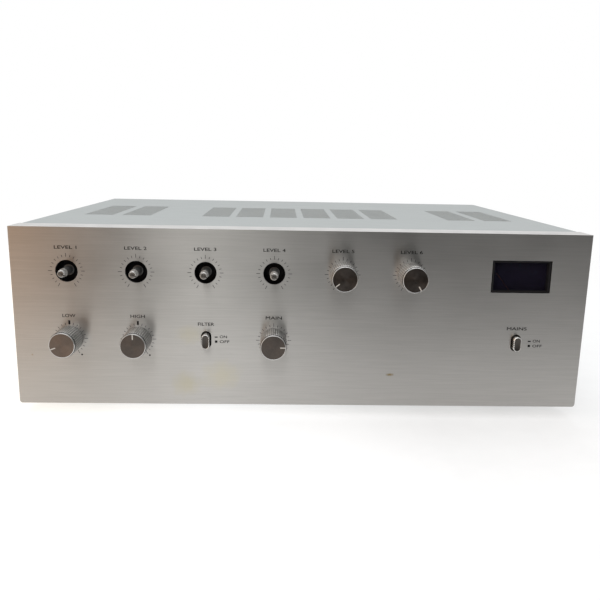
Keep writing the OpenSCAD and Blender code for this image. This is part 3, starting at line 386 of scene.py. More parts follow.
def along(tree, axis):
    """The direction of brush strokes round an axis of the piece."""
    return add_node(tree, "ShaderNodeTangent", {}, direction_type="RADIAL", axis=axis).outputs["Tangent"]


def plain_finish(name, dark, light, rough, metallic=0.0, cells=500.0, stretch=(1.0, 1.0, 1.0),
                 depth=0.004 * MM, specular=0.5):
    """A finish whose colour, gloss and surface vary with one grain; made once and then reused."""
    made = bpy.data.materials.get(name)
    if made:
        return made
    constants = {"Roughness": rough[0], "Metallic": metallic, "Specular IOR Level": specular}
    finish, tree, shader = start_finish(name, constants)
    fine = grain(tree, cells, stretch)
    broad_cells = cells / 12.0
    broad = grain(tree, broad_cells, stretch)
    set_sockets(shader, {
        "Base Color": between(tree, blend(tree, fine, broad, 0.5), dark, light),
        "Roughness": spread(tree, broad, *rough),
        "Normal": press(tree, fine, depth),
    })
    return finish


def scaled(colour, factor):
    """A colour made lighter or darker."""
    return tuple(min(1.0, part * factor) for part in colour)


def brushed_aluminium(settings):
    """The panel's face: brushed along its length, a little stained and smudged by use."""
    constants = {"Roughness": 0.4, "Metallic": 1.0, "Anisotropic": 0.93}
    finish, tree, shader = start_finish("brushed_aluminium", constants)
    strokes = grain(tree, settings.strokes, (0.024, 1.0, 1.0), 5.0)
    smudges = grain(tree, 16.0, (1.0, 1.0, 1.4), 4.0)
    colour = between(tree, blend(tree, strokes, smudges), scaled(settings.metal, 0.915),
                     scaled(settings.metal, 1.075))
    depth = 40.0 * MM
    for centre, width, height, strength, stain in (
            ((-0.083, FACE_Y, 0.064), 11.0 * MM, 8.0 * MM, 0.4, (0.5, 0.46, 0.33)),
            ((-0.086, FACE_Y, 0.026), 12.0 * MM, 10.0 * MM, 0.5, (0.45, 0.41, 0.28)),
            ((-0.06, FACE_Y, 0.033), 16.0 * MM, 12.0 * MM, 0.45, (0.5, 0.46, 0.33)),
            ((0.0665, FACE_Y, 0.0345), 3.2 * MM, 1.2 * MM, 0.85, (0.26, 0.18, 0.06)),
            ((-0.1985, FACE_Y, 0.0475), 0.9 * MM, 0.9 * MM, 0.5, (0.3, 0.2, 0.1))):
        colour = turned_to(tree, spot(tree, centre, (width, depth, height), strength), colour, stain)
    set_sockets(shader, {
        "Base Color": colour,
        "Roughness": spread(tree, smudges, 0.285, 0.325),
        "Normal": press(tree, strokes, 0.004 * MM, 0.16),
        "Tangent": along(tree, "X"),
    })
    return finish


def spun_metal(name, colour, roughness):
    """Metal turned on a lathe, with fine rings round the piece's z axis."""
    made = bpy.data.materials.get(name)
    if made:
        return made
    constants = {"Roughness": roughness, "Metallic": 1.0, "Anisotropic": 0.6, "Anisotropic Rotation": 0.25}
    finish, tree, shader = start_finish(name, constants)
    values = {"W": from_middle(tree), "Scale": 3200.0, "Detail": 3.0}
    rings = add_node(tree, "ShaderNodeTexNoise", values, noise_dimensions="1D").outputs["Fac"]
    wear = grain(tree, 260.0)
    set_sockets(shader, {
        "Base Color": between(tree, blend(tree, rings, wear), scaled(colour, 0.8), scaled(colour, 1.2)),
        "Roughness": spread(tree, wear, roughness * 0.85, roughness * 1.15),
        "Normal": press(tree, rings, 0.003 * MM),
        "Tangent": along(tree, "Z"),
    })
    return finish


def cut_aluminium():
    """Freshly cut metal on the buttons' bevels."""
    return plain_finish("cut_aluminium", (0.8, 0.79, 0.775), (0.92, 0.91, 0.89), (0.3, 0.4), 1.0, 900.0)


def panel_edge():
    """The panel's cut edge, which is duller than a bevel and takes light from all round."""
    return plain_finish("panel_edge", (0.8, 0.79, 0.775), (0.92, 0.91, 0.89), (0.32, 0.42), 0.45, 900.0)


def panel_flange():
    """The panel's upper flange, which is duller than its edges."""
    return plain_finish("panel_flange", (0.63, 0.622, 0.61), (0.73, 0.72, 0.707), (0.32, 0.42), 0.45,
                        900.0)


def bore_wall():
    """Dark walls of the panel's holes."""
    return plain_finish("bore_wall", (0.01, 0.01, 0.01), (0.026, 0.025, 0.024), (0.5, 0.65), cells=900.0)


def painted_groove_shade():
    """Near-black finish in the grooves of knobs and buttons: painted shade."""
    return plain_finish("painted_groove_shade", (0.02, 0.02, 0.021), (0.05, 0.05, 0.05), (0.5, 0.7), 0.5, 900.0)


def panel_ink(settings):
    """Black ink of the words and the bold marks."""
    return plain_finish("panel_ink", scaled(settings.ink, 0.3), scaled(settings.ink, 0.8), (0.5, 0.65),
                        cells=900.0, specular=0.15)


def case_paint(settings):
    """Fine satin paint with a faint orange peel."""
    return plain_finish("case_paint", scaled(settings.paint, 0.95), scaled(settings.paint, 1.05),
                        (0.38, 0.5), cells=700.0, depth=0.006 * MM)


def worn_and_highlit_paint(settings):
    """The same paint, lighter on the edges: partly rubbed paint, partly a painted highlight along them."""
    return plain_finish("case_paint_edge", scaled(settings.paint, 0.98), scaled(settings.paint, 1.35),
                        (0.3, 0.42), cells=300.0)


def zinc_steel():
    """Bright plating on screws, cans and frames."""
    return plain_finish("zinc_steel", (0.46, 0.46, 0.44), (0.66, 0.66, 0.63), (0.26, 0.42), 1.0, 1200.0)


def moulded_black():
    """Glossy black moulding of sockets, holders and blocks."""
    return plain_finish("moulded_black", (0.012, 0.012, 0.013), (0.028, 0.028, 0.03), (0.32, 0.46),
                        cells=900.0)


def matt_black():
    """Dull black on the panel behind the controls and round the meter."""
    return plain_finish("matt_black", (0.005, 0.005, 0.006), (0.011, 0.011, 0.012), (0.6, 0.75),
                        cells=800.0, specular=0.2)


def smoked_lens(settings):
    """Dark glossy lens that lets a little light through."""
    constants = {"Roughness": 0.05, "Alpha": settings.smoke, "IOR": 1.49}
    finish, tree, shader = start_finish("smoked_lens", constants)
    dust = grain(tree, 240.0, detail=5.0)
    set_sockets(shader, {
        "Base Color": between(tree, dust, (0.01, 0.009, 0.019), (0.016, 0.014, 0.03)),
        "Roughness": spread(tree, dust, 0.03, 0.09),
        "Normal": press(tree, dust, 0.001 * MM, 0.3),
    })
    return finish


def layered(name, dark, light, lines, direction, rough, metallic=0.0):
    """Fine parallel lines, as on stacked sheets or wound wire: so many light and dark lines to the metre."""
    lines_at_scale_one = 20.0 / math.pi
    finish, tree, shader = start_finish(name, {"Roughness": rough[0], "Metallic": metallic})
    values = {"Vector": object_place(tree, (1.0, 1.0, 1.0)), "Scale": lines / lines_at_scale_one,
              "Distortion": 0.6, "Detail": 2.0}
    wave = add_node(tree, "ShaderNodeTexWave", values, bands_direction=direction).outputs["Fac"]
    patches = grain(tree, 90.0)
    set_sockets(shader, {
        "Base Color": between(tree, blend(tree, wave, patches), dark, light),
        "Roughness": spread(tree, patches, *rough),
        "Normal": press(tree, wave, 0.05 * MM, 0.5),
    })
    return finish


# Shapes

def join_rings(shape, ring, after, slot):
    """Fills the band between two rings of points; either ring may be a single point."""
    for i in range(max(len(ring), len(after))):
        corners = (ring[i % len(ring)], ring[(i + 1) % len(ring)],
                   after[(i + 1) % len(after)], after[i % len(after)])
        face = shape.faces.new(tuple(dict.fromkeys(corners)))
        face.material_index = slot
        face.smooth = True


def add_turned(shape, steps, sides):
    """Adds a turned solid along z. Each step has a radius, a height and the slot of the band up to it.

    A step that is ribbed has its ribs' depth as well.
    """
    last = None
    for radius, height, slot, *ribs in steps:
        rib = sum(ribs)
        ring = []
        for i in range(sides if radius > 0.0 else 1):
            angle = 2.0 * math.pi * i / sides
            distance = radius - rib * (i // 2 % 2)
            ring.append(shape.verts.new((distance * math.sin(angle), distance * math.cos(angle), height)))
        if last:
            join_rings(shape, last, ring, slot)
        last = ring


def add_stack(shape, outlines, slots):
    """Adds a solid through outlines of (x, y, z) points; slots name the start, each band and the end."""
    rings = [[shape.verts.new(point) for point in outline] for outline in outlines]
    shape.faces.new(tuple(reversed(rings[0]))).material_index = slots[0]
    for ring, after, slot in zip(rings, rings[1:], slots[1:]):
        join_rings(shape, ring, after, slot)
    shape.faces.new(rings[-1]).material_index = slots[-1]


def add_box(shape, low, high, place=Matrix.Identity(4), slot=0):
    """Adds a box between two corners of a place."""
    low, high = Vector(low), Vector(high)
    size = Matrix.Diagonal((*(high - low), 1.0))
    centred = place @ Matrix.Translation((low + high) / 2)
    made = bmesh.ops.create_cube(shape, size=1.0, matrix=centred @ size)
    for face in {face for vert in made["verts"] for face in vert.link_faces}:
        face.material_index = slot


def add_dot(shape, radius, place):
    """Adds a printed dot."""
    sides = 24
    bmesh.ops.create_cone(shape, cap_ends=True, segments=sides, radius1=radius, radius2=radius, depth=INK,
                          matrix=place)


def add_words(shape, words, width, height, place):
    """Adds printed words of a set width and height, centred on a place."""
    curve = bpy.data.curves.new("words", "FONT")
    curve.body = words
    curve.extrude = 0.5
    boldness = 0.014
    curve.bevel_depth = boldness
    curve.bevel_resolution = 0
    curve.resolution_u = 4
    writer = bpy.data.objects.new("words", curve)
    bpy.context.scene.collection.objects.link(writer)
    drawn = writer.evaluated_get(bpy.context.evaluated_depsgraph_get())
    mesh = bpy.data.meshes.new_from_object(drawn)
    xs = [vert.co.x for vert in mesh.vertices]
    ys = [vert.co.y for vert in mesh.vertices]
    size = Matrix.Diagonal((width / (max(xs) - min(xs)), height / (max(ys) - min(ys)), INK, 1.0))
    centred = Matrix.Translation((-(max(xs) + min(xs)) / 2, -(max(ys) + min(ys)) / 2, 0.0))
    mesh.transform(place @ size @ centred)
    shape.from_mesh(mesh)
    bpy.data.objects.remove(writer)
    bpy.data.curves.remove(curve)
    bpy.data.meshes.remove(mesh)


def stadium(width, height, inset, z, ridge, ridge_depth):
    """An upright outline with round ends and ridged straight sides, as points at height z.

    Each ridge's pitch has a groove with sloping walls in its middle.
    """
    radius = width / 2 - inset
    straight = height / 2 - width / 2
    arc_steps = 16
    ridges = int(2 * straight / ridge)
    groove = ((0.27, 0.0), (0.37, ridge_depth), (0.63, ridge_depth), (0.73, 0.0))
    points = []
    for side in (1, -1):
        for i in range(arc_steps + 1):
            angle = math.pi * i / arc_steps - math.pi / 2
            points.append((side * radius * math.sin(angle), side * (straight + radius * math.cos(angle)), z))
        for i in range(ridges):
            for share, depth in groove:
                y = side * straight * (1 - 2 * (i + share) / ridges)
                points.append((side * (radius - depth), y, z))
    return points


def make_piece(name, shape, finishes, body, place=Matrix.Identity(4), nodes=()):
    """Turns a shape into a piece that rides on a body and stands for the nodes it replaces."""
    bmesh.ops.recalc_face_normals(shape, faces=shape.faces)
    mesh = bpy.data.meshes.new(name)
    shape.to_mesh(mesh)
    shape.free()
    mesh.set_sharp_from_angle(angle=SHARP_ANGLE)
    for finish in finishes:
        mesh.materials.append(finish)
    piece = bpy.data.objects.new(name, mesh)
    bpy.context.scene.collection.objects.link(piece)
    piece.matrix_world = place
    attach(piece, body)
    if nodes:
        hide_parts(*nodes)
    return piece


def dress(node, finish, edge=0.2 * MM, edge_finish=None):
    """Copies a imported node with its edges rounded; the copy stands for the node and has the finish."""
    if node not in frame["nodes"]:
        raise RuntimeError(f"the packed model has no node {node}")
    shape = bmesh.new()
    shape.from_mesh(frame["nodes"][node].data)
    bmesh.ops.remove_doubles(shape, verts=shape.verts, dist=WELD)
    bmesh.ops.dissolve_limit(shape, angle_limit=FLAT_ANGLE, verts=shape.verts, edges=shape.edges)
    for face in shape.faces:
        face.smooth = True
        face.material_index = 0
    finishes = [finish, edge_finish or finish]
    piece = make_piece(node + "_dressed", shape, finishes, NODE_BODY[node], nodes=[node])
    rounding = piece.modifiers.new("Rounded edges", "BEVEL")
    rounding.width = edge
    rounding.segments = 2
    rounding.limit_method = "ANGLE"
    rounding.angle_limit = SHARP_ANGLE
    rounding.harden_normals = True
    rounding.material = 1
    return piece


# Operators

class AMPLIFIER_OT_dress_case(bpy.types.Operator):
    """Paint the folded sheets and finish the feet and the screws"""
    bl_idname = "amplifier.dress_case"
    bl_label = "Dress the case"

    def execute(self, context):
        settings = context.scene.amplifier_case
        paint = case_paint(settings)
        # Lighter paint on the sheets' edges: partly rubbed paint, partly a painted highlight
        worn_and_highlit = worn_and_highlit_paint(settings)
        for node in ("top_cover", "side_panel_left", "side_panel_right", "rear_panel", "base_tray",
                     "module_plates"):
            dress(node, paint, settings.sheet_edge, worn_and_highlit)
        dress("inner_panel", matt_black())
        rubber = plain_finish("foot_rubber", (0.012, 0.012, 0.012), (0.03, 0.03, 0.029), (0.7, 0.9),
                              cells=1500.0, depth=0.02 * MM)
        dress("rubber_feet", rubber, 0.8 * MM)
        for node in ("foot_screws", "case_screws"):
            dress(node, zinc_steel(), 0.25 * MM)
        return {"FINISHED"}


class AMPLIFIER_OT_dress_panel(bpy.types.Operator):
    """Brush the front panel, cut its edges bright and darken its holes"""
    bl_idname = "amplifier.dress_panel"
    bl_label = "Dress the front panel"

    def execute(self, context):
        settings = context.scene.amplifier_panel
        panel = dress("front_panel", brushed_aluminium(settings), settings.edge, panel_edge())
        panel.data.materials.append(panel_flange())
        panel.data.materials.append(bore_wall())
        low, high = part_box("front_panel")
        for face in panel.data.polygons:
            if abs(face.normal.y) < 0.5:
                face.material_index = self.edge_slot(settings, face.center, low, high)
        return {"FINISHED"}

    def edge_slot(self, settings, centre, low, high):
        """The slot for a face that stands across the panel: in a hole, on the upper flange or elsewhere."""
        if min(centre.x - low.x, high.x - centre.x, centre.z - low.z, high.z - centre.z) > settings.rim:
            return PANEL_BORE
        if centre.z > high.z - WELD:
            return PANEL_FLANGE
        return PANEL_EDGE


class AMPLIFIER_OT_print_marks(bpy.types.Operator):
    """Print the plain words and the dial scales on the panel"""
    bl_idname = "amplifier.print_marks"
    bl_label = "Print the marks"

    def execute(self, context):
        settings = context.scene.amplifier_marks
        ink = panel_ink(settings)
        grey = plain_finish("scale_grey", scaled(settings.ink, 2.2), scaled(settings.ink, 3.8), (0.5, 0.65),
                            cells=900.0)
        level_width = 16.0 * MM
        words = bmesh.new()
        scales = bmesh.new()
        bold = bmesh.new()
        for k in range(1, 7):
            self.label(settings, words, f"LEVEL {k}", level_width, f"input_shaft_{k}", settings.label_rise)
            self.scale(settings, scales, f"input_shaft_{k}")
        for word, width, name in (("LOW", 9.5, "bass"), ("HIGH", 10.5, "treble"), ("MAIN", 12.0, "master")):
            self.label(settings, words, word, width * MM, name + "_shaft", settings.label_rise)
            self.scale(settings, scales, name + "_shaft")
        for name in ("bass", "treble"):
            self.centre_marks(bold, name + "_shaft")
        self.label(settings, words, "FILTER", width=12.0 * MM, node="tone_button", rise=11.8 * MM)
        self.label(settings, words, "MAINS", width=15.0 * MM, node="power_button", rise=11.0 * MM)
        self.switch_marks(words, "tone_button", start=7.3 * MM, upper=2.3 * MM, lower=-1.4 * MM)
        self.switch_marks(words, "power_button", start=10.3 * MM, upper=1.6 * MM, lower=-2.2 * MM)
        make_piece("panel_words", words, [ink], "case")
        make_piece("panel_scales", scales, [grey], "case")
        make_piece("centre_marks", bold, [ink], "case")
        return {"FINISHED"}

    def label(self, settings, shape, words, width, node, rise):
        """Prints a word over a control."""
        centre = middle(node)
        add_words(shape, words, width, settings.label_height, panel_place(centre.x, centre.z + rise, INK))

    def scale(self, settings, shape, node):
        """Prints a dial's ticks, with longer ones at the top, the sides and the ends."""
        centre = middle(node)
        place = panel_place(centre.x, centre.z, INK)
        last = settings.ticks - 1
        top = last // 2
        quarter = round(last * math.radians(90.0) / DIAL_SWEEP)
        extra = 1.1 * MM
        half = settings.tick_width / 2
        for i in range(settings.ticks):
            turn = Matrix.Rotation(DIAL_SWEEP * (0.5 - i / last), 4, "Z")
            longer = extra if i in (0, top - quarter, top, top + quarter, last) else 0.0
            end = settings.tick_end + longer
            add_box(shape, (-half, settings.tick_start, -INK / 2), (half, end, INK / 2), place @ turn)

    def centre_marks(self, shape, node):
        """Prints a bold tick at the top of a dial and a dot at each end of its scale."""
        half_width = 0.72 * MM
        tick_start = 10.6 * MM
        tick_end = 13.6 * MM
        dot_radius = 0.65 * MM
        dot_out = Matrix.Translation((0.0, 14.7 * MM, 0.0))
        dot_angle = math.radians(147.0)
        centre = middle(node)
        place = panel_place(centre.x, centre.z, 2 * INK)
        add_box(shape, (-half_width, tick_start, -INK / 2), (half_width, tick_end, INK / 2), place)
        for side in (-1, 1):
            add_dot(shape, dot_radius, place @ Matrix.Rotation(side * dot_angle, 4, "Z") @ dot_out)

    def switch_marks(self, shape, node, start, upper, lower):
        """Prints a dash for on and a square for off beside a button, each with its word."""
        dash = 1.1 * MM
        dash_low = upper - 0.7 * MM
        dash_high = upper + 0.2 * MM
        square = 0.9 * MM
        word_height = 2.1 * MM
        centre = middle(node)
        place = panel_place(centre.x + start, centre.z, INK)
        add_box(shape, (-dash, dash_low, -INK / 2), (dash, dash_high, INK / 2), place)
        add_box(shape, (-square, lower - square, -INK / 2), (square, lower + square, INK / 2), place)
        for word, width, right, rise in (("ON", 5.4, 5.3, upper), ("OFF", 7.2, 6.2, lower)):
            beside = Matrix.Translation((right * MM, rise, 0.0))
            add_words(shape, word, width * MM, word_height, place @ beside)


class AMPLIFIER_OT_turn_knobs(bpy.types.Operator):
    """Turn the ribbed knobs with their spun faces and index lines"""
    bl_idname = "amplifier.turn_knobs"
    bl_label = "Turn the knobs"

    def execute(self, context):
        settings = context.scene.amplifier_knobs
        side = plain_finish("knob_side", scaled(settings.side, 0.8), scaled(settings.side, 1.2),
                            (0.3, 0.38), 1.0, 700.0)
        # A darker copy of the side for the faces deep between the ribs: painted shade
        valley_shade = plain_finish("knob_valley_painted_shade", scaled(settings.side, 0.45), scaled(settings.side, 0.65),
                              (0.4, 0.5), 1.0, 700.0)
        rim = plain_finish("knob_rim", scaled(settings.side, 0.9), scaled(settings.side, 1.15),
                           (0.3, 0.38), 1.0, 900.0)
        face = spun_metal("knob_face", settings.face, 0.34)
        # A lighter copy of the face for the low tone knob: painted reflection
        painted_sheen_face = spun_metal("knob_face_painted_sheen", settings.painted_sheen_face, 0.34)
        # The grooves' near-black finish is painted shade
        groove_shade = painted_groove_shade()
        index = plain_finish("index_inlay", scaled(settings.index, 0.85), settings.index, (0.4, 0.55),
                             cells=900.0)
        clearance = 0.03 * MM
        bore = context.scene.amplifier_shafts.radius + clearance
        for body, node in (("input_5", "input_knob_5"), ("input_6", "input_knob_6"), ("bass", "bass_knob"),
                           ("treble", "treble_knob"), ("master", "master_knob")):
            low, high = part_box(node)
            radius = max(high.x - low.x, high.z - low.z) / 2
            shape = self.knob(settings, radius, bore, FACE_Y - high.y, FACE_Y - low.y)
            centre = middle(node)
            place = panel_place(centre.x, centre.z) @ Matrix.Rotation(-rest_angle(body), 4, "Z")
            finishes = [side, rim, painted_sheen_face if body == "bass" else face, index, groove_shade, valley_shade]
            make_piece(node + "_turned", shape, finishes, body, place, [node])
        return {"FINISHED"}

    def knob(self, settings, radius, bore, back, front):
        """A knob between two heights: bore, ribbed side, groove, rim, bright bevel and sunk face."""
        rib = settings.rib_depth
        chamfer = 0.4 * MM
        corner = 0.05 * MM
        lip = 0.12 * MM
        sunk = 0.08 * MM
        bore_end = front - 6.0 * MM
        groove_back = front - settings.rim - settings.groove
        groove_front = groove_back + settings.groove
        ribs_end = groove_back - rib
        rim_radius = radius - settings.rim_step
        groove_radius = rim_radius - settings.groove
        face_edge = rim_radius - settings.bevel - lip
        face_height = front - sunk
        outer_ring = radius * 0.6
        inner_ring = radius * 0.25
        shape = bmesh.new()
        add_turned(shape, [
            (0.0, bore_end, KNOB_SIDE),
            (bore, bore_end, KNOB_SIDE),
            (bore, back, KNOB_SIDE),
            (radius - chamfer, back, KNOB_SIDE),
            (radius, back + chamfer, KNOB_SIDE, rib),
            (radius, ribs_end, KNOB_SIDE, rib),
            (radius - rib, groove_back, KNOB_SIDE),
            (groove_radius, groove_back, KNOB_SIDE),
            (groove_radius, groove_front, KNOB_SIDE),
            (rim_radius - corner, groove_front, KNOB_SIDE),
            (rim_radius, groove_front + corner, KNOB_RIM),
            (rim_radius, front - settings.bevel, KNOB_RIM),
            (rim_radius - settings.bevel, front, KNOB_RIM),
            (face_edge, front, KNOB_RIM),
            (face_edge - sunk, face_height, KNOB_RIM),
            (outer_ring, face_height, KNOB_FACE),
            (inner_ring, face_height, KNOB_FACE),
            (0.0, face_height, KNOB_FACE),
        ], 4 * settings.ribs)
        # Faces in the groove behind the rim get the near-black painted shade, and faces deep between the ribs a
        # darker painted shade of the side
        deep = radius - rib / 2
        for face in shape.faces:
            if face.material_index == KNOB_SIDE and max(vert.co.xy.length for vert in face.verts) < deep:
                in_groove = face.calc_center_median().z >= ribs_end
                face.material_index = KNOB_GROOVE if in_groove else KNOB_VALLEY
        half = settings.index_width / 2
        proud = 0.03 * MM
        rooted = 3 * sunk
        add_box(shape, (-half, rim_radius - settings.index_length, front - rooted),
                (half, face_edge - sunk, face_height + proud), slot=KNOB_INDEX)
        for outer, start, end in ((radius, back + chamfer, groove_back),
                                  (rim_radius, groove_front, front - settings.bevel)):
            add_box(shape, (-half / 2, outer - rooted, start), (half / 2, outer + proud, end),
                    slot=KNOB_INDEX)
        return shape


class AMPLIFIER_OT_turn_shafts(bpy.types.Operator):
    """Turn the shafts, split and tooth the bare ones, and finish the controls behind them"""
    bl_idname = "amplifier.turn_shafts"
    bl_label = "Turn the shafts"

    def execute(self, context):
        settings = context.scene.amplifier_shafts
        steel = plain_finish("shaft_steel", (0.42, 0.413, 0.4), (0.62, 0.613, 0.595), (0.4, 0.52), 0.75,
                             900.0)
        # A darker copy of the shaft steel: painted shade on the part nearest the panel
        shaded_steel = plain_finish("shaft_painted_shade", (0.11, 0.108, 0.105), (0.18, 0.178, 0.173), (0.46, 0.6), 0.75,
                            900.0)
        rim = plain_finish("shaft_rim", (0.5, 0.49, 0.475), (0.7, 0.69, 0.67), (0.3, 0.4), 1.0, 900.0)
        tip = spun_metal("shaft_tip", (0.19, 0.182, 0.173), 0.35)
        for k in range(1, 5):
            node = f"input_shaft_{k}"
            centre = middle(node)
            place = panel_place(centre.x, centre.z) @ Matrix.Rotation(-rest_angle(f"input_{k}"), 4, "Z")
            back = FACE_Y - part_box(node)[1].y
            shape = self.bare_shaft(settings, back, reach(node))
            make_piece(node + "_turned", shape, [steel, rim, tip, shaded_steel], f"input_{k}", place, [node])
        for node in ("input_shaft_5", "input_shaft_6", "bass_shaft", "treble_shaft", "master_shaft"):
            dress(node, steel, 0.1 * MM)
        tin = plain_finish("control_can", (0.42, 0.41, 0.37), (0.6, 0.59, 0.54), (0.3, 0.5), 1.0, 300.0)
        nut = matt_black()
        for name in (*(f"input_pot_{k}" for k in range(1, 7)), "bass_pot", "treble_pot", "master_pot"):
            self.blacken_bushing(dress(name, tin), nut)
        dress("pot_nuts", nut)
        return {"FINISHED"}

    def blacken_bushing(self, pot, black):
        """Blackens what stands in front of the inner panel, and a little of what passes through it."""
        within = 1.0 * MM
        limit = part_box("inner_panel")[0].y + within
        pot.data.materials.append(black)
        black_slot = len(pot.data.materials) - 1
        pot.modifiers["Rounded edges"].material = -1
        for face in pot.data.polygons:
            if face.center.y < limit:
                face.material_index = black_slot

    def bare_shaft(self, settings, back, front):
        """A shaft with a clip ring, a turned groove and a toothed tip that is split in two."""
        sides = 48
        radius = settings.radius
        clip_back = -6.2 * MM
        clip_front = clip_back + 0.8 * MM
        clip_radius = radius + 0.9 * MM
        split = front - settings.slot_depth
        groove_back = split - 1.2 * MM
        groove_front = groove_back + 0.8 * MM
        groove_radius = radius - 0.35 * MM
        slope = 0.1 * MM
        shape = bmesh.new()
        # The shaft from its back up to the groove takes the darker steel, which is painted shade
        add_turned(shape, [
            (0.0, back, SHAFT_SHADE),
            (radius, back, SHAFT_SHADE),
            (radius, clip_back, SHAFT_SHADE),
            (clip_radius, clip_back, SHAFT_SHADE),
            (clip_radius, clip_front, SHAFT_SHADE),
            (radius, clip_front, SHAFT_SHADE),
            (radius, groove_back, SHAFT_SHADE),
            (groove_radius, groove_back + slope, SHAFT_STEEL),
            (groove_radius, groove_front - slope, SHAFT_STEEL),
            (radius, groove_front, SHAFT_STEEL),
            (radius, split, SHAFT_STEEL),
            (0.0, split, SHAFT_STEEL),
        ], sides)
        tip = radius - settings.tip_step
        crowned = tip - settings.crown
        chamfer_back = front - settings.chamfer
        overlap = 0.2 * MM
        for turn in (0.0, math.pi):
            add_stack(shape, [
                self.half_outline(settings, tip, turn, split - overlap),
                self.half_outline(settings, tip, turn, chamfer_back - 2 * settings.crown),
                self.half_outline(settings, crowned, turn, chamfer_back),
                self.half_outline(settings, crowned - settings.chamfer, turn, front),
            ], (SHAFT_STEEL, SHAFT_STEEL, SHAFT_STEEL, SHAFT_RIM, SHAFT_TIP))
        return shape

    def half_outline(self, settings, radius, turn, z):
        """One toothed half of the split tip, seen from the front."""
        half_slot = settings.slot_width / 2
        start = math.asin(half_slot / radius)
        steps = 2 * settings.teeth
        points = []
        for i in range(steps + 1):
            angle = start + (math.pi - 2 * start) * i / steps
            distance = radius - settings.tooth_depth * (i // 2 % 2)
            x = distance * math.cos(angle)
            y = max(half_slot, distance * math.sin(angle))
            points.append(Matrix.Rotation(turn, 3, "Z") @ Vector((x, y, z)))
        return points


class AMPLIFIER_OT_make_buttons(bpy.types.Operator):
    """Make the two push buttons with ridged sides, and finish their switches"""
    bl_idname = "amplifier.make_buttons"
    bl_label = "Make the buttons"

    def execute(self, context):
        settings = context.scene.amplifier_buttons
        side = plain_finish("button_side", (0.52, 0.51, 0.49), (0.74, 0.73, 0.7), (0.29, 0.38), 1.0, 800.0)
        face = plain_finish("button_face", scaled(settings.face, 0.8), scaled(settings.face, 1.2),
                            (0.34, 0.48), 1.0, 900.0, (1.0, 0.05, 1.0))
        for node in ("tone_button", "power_button"):
            centre = middle(node)
            back = FACE_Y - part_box(node)[1].y
            shape = self.button(settings, back, reach(node))
            make_piece(node + "_made", shape, [side, cut_aluminium(), face, painted_groove_shade()], node,
                       panel_place(centre.x, centre.z), [node])
        housing = plain_finish("switch_housing", (0.03, 0.03, 0.034), (0.06, 0.06, 0.066), (0.4, 0.55),
                               cells=700.0)
        for node in ("tone_switch", "power_switch"):
            dress(node, housing)
        return {"FINISHED"}

    def button(self, settings, back, front):
        """A cap with round ends, ridged sides and a bevelled face, on a square stem."""
        groove_depth = 0.4 * MM
        lip = 0.1 * MM
        sunk = 0.04 * MM
        overlap = 0.01 * MM
        size = (settings.width, settings.height)
        cap_back = front - settings.depth
        shape = bmesh.new()
        add_stack(shape, [
            stadium(*size, 0.0, cap_back, settings.ridge, groove_depth),
            stadium(*size, 0.0, front - settings.bevel, settings.ridge, groove_depth),
            stadium(*size, settings.bevel, front, settings.ridge, 0.0),
            stadium(*size, settings.bevel + lip, front - sunk, settings.ridge, 0.0),
        ], (BUTTON_SIDE, BUTTON_SIDE, BUTTON_BEVEL, BUTTON_BEVEL, BUTTON_FACE))
        # Faces in the ridges' grooves get the near-black finish: painted shade
        straight = (settings.height - settings.width) / 2
        groove_start = settings.width / 2 - groove_depth / 4
        for face in shape.faces:
            centre = face.calc_center_median()
            in_groove = abs(centre.y) < straight and abs(centre.x) < groove_start
            if face.material_index == BUTTON_SIDE and in_groove:
                face.material_index = BUTTON_GROOVE
        half = settings.stem / 2
        add_box(shape, (-half, -half, back), (half, half, cap_back + overlap))
        return shape


class AMPLIFIER_OT_fit_meter(bpy.types.Operator):
    """Finish the meter, print its scale and paint its needle"""
    bl_idname = "amplifier.fit_meter"
    bl_label = "Fit the meter"

    def execute(self, context):
        settings = context.scene.amplifier_meter
        dress("meter_bezel", matt_black())
        dress("meter_case", moulded_black())
        dress("meter_lens", smoked_lens(settings), 0.05 * MM)
        card = plain_finish("dial_card", (0.016, 0.017, 0.019), (0.026, 0.027, 0.029), (0.6, 0.75),
                            cells=1200.0)
        dress("meter_dial", card, 0.05 * MM)
        dress("meter_movement", zinc_steel())
        paint = plain_finish("needle_paint", scaled(settings.needle, 0.8), scaled(settings.needle, 1.1),
                             (0.4, 0.55), cells=900.0)
        dress("meter_needle", paint, 0.05 * MM)
        ink = plain_finish("scale_ink", scaled(settings.scale, 0.8), scaled(settings.scale, 1.1),
                           (0.5, 0.65), cells=900.0)
        make_piece("meter_scale", self.scale(settings), [ink], "case")
        return {"FINISHED"}

    def scale(self, settings):
        """Ticks over the needle's swing with plain numbers above them, printed on the dial."""
        pivot = Vector(JOINT["needle"]["pos_m"])
        swing = math.radians(JOINT["needle"]["range_deg"][1])
        needle = frame["nodes"]["meter_needle"].data
        reach_of_needle = max((Vector(vert.co) - pivot).xz.length for vert in needle.vertices)
        start = reach_of_needle - 3.2 * MM
        long_end = start + 2.2 * MM
        short_end = start + 1.3 * MM
        half = 0.12 * MM
        above = Matrix.Translation((0.0, start + 4.0 * MM, 0.0))
        digit_width = 1.1 * MM
        digit_height = 1.8 * MM
        number_every = 4
        divisions_to_one = 2
        place = panel_place(pivot.x, pivot.z, reach("meter_dial") + INK)
        shape = bmesh.new()
        for i in range(settings.divisions + 1):
            spot_on_arc = place @ Matrix.Rotation(swing / 2 - swing * i / settings.divisions, 4, "Z")
            numbered = i % number_every == 0
            end = long_end if numbered else short_end
            add_box(shape, (-half, start, -INK / 2), (half, end, INK / 2), spot_on_arc)
            if numbered:
                number = str(i // divisions_to_one)
                add_words(shape, number, digit_width * len(number), digit_height, spot_on_arc @ above)
        return shape


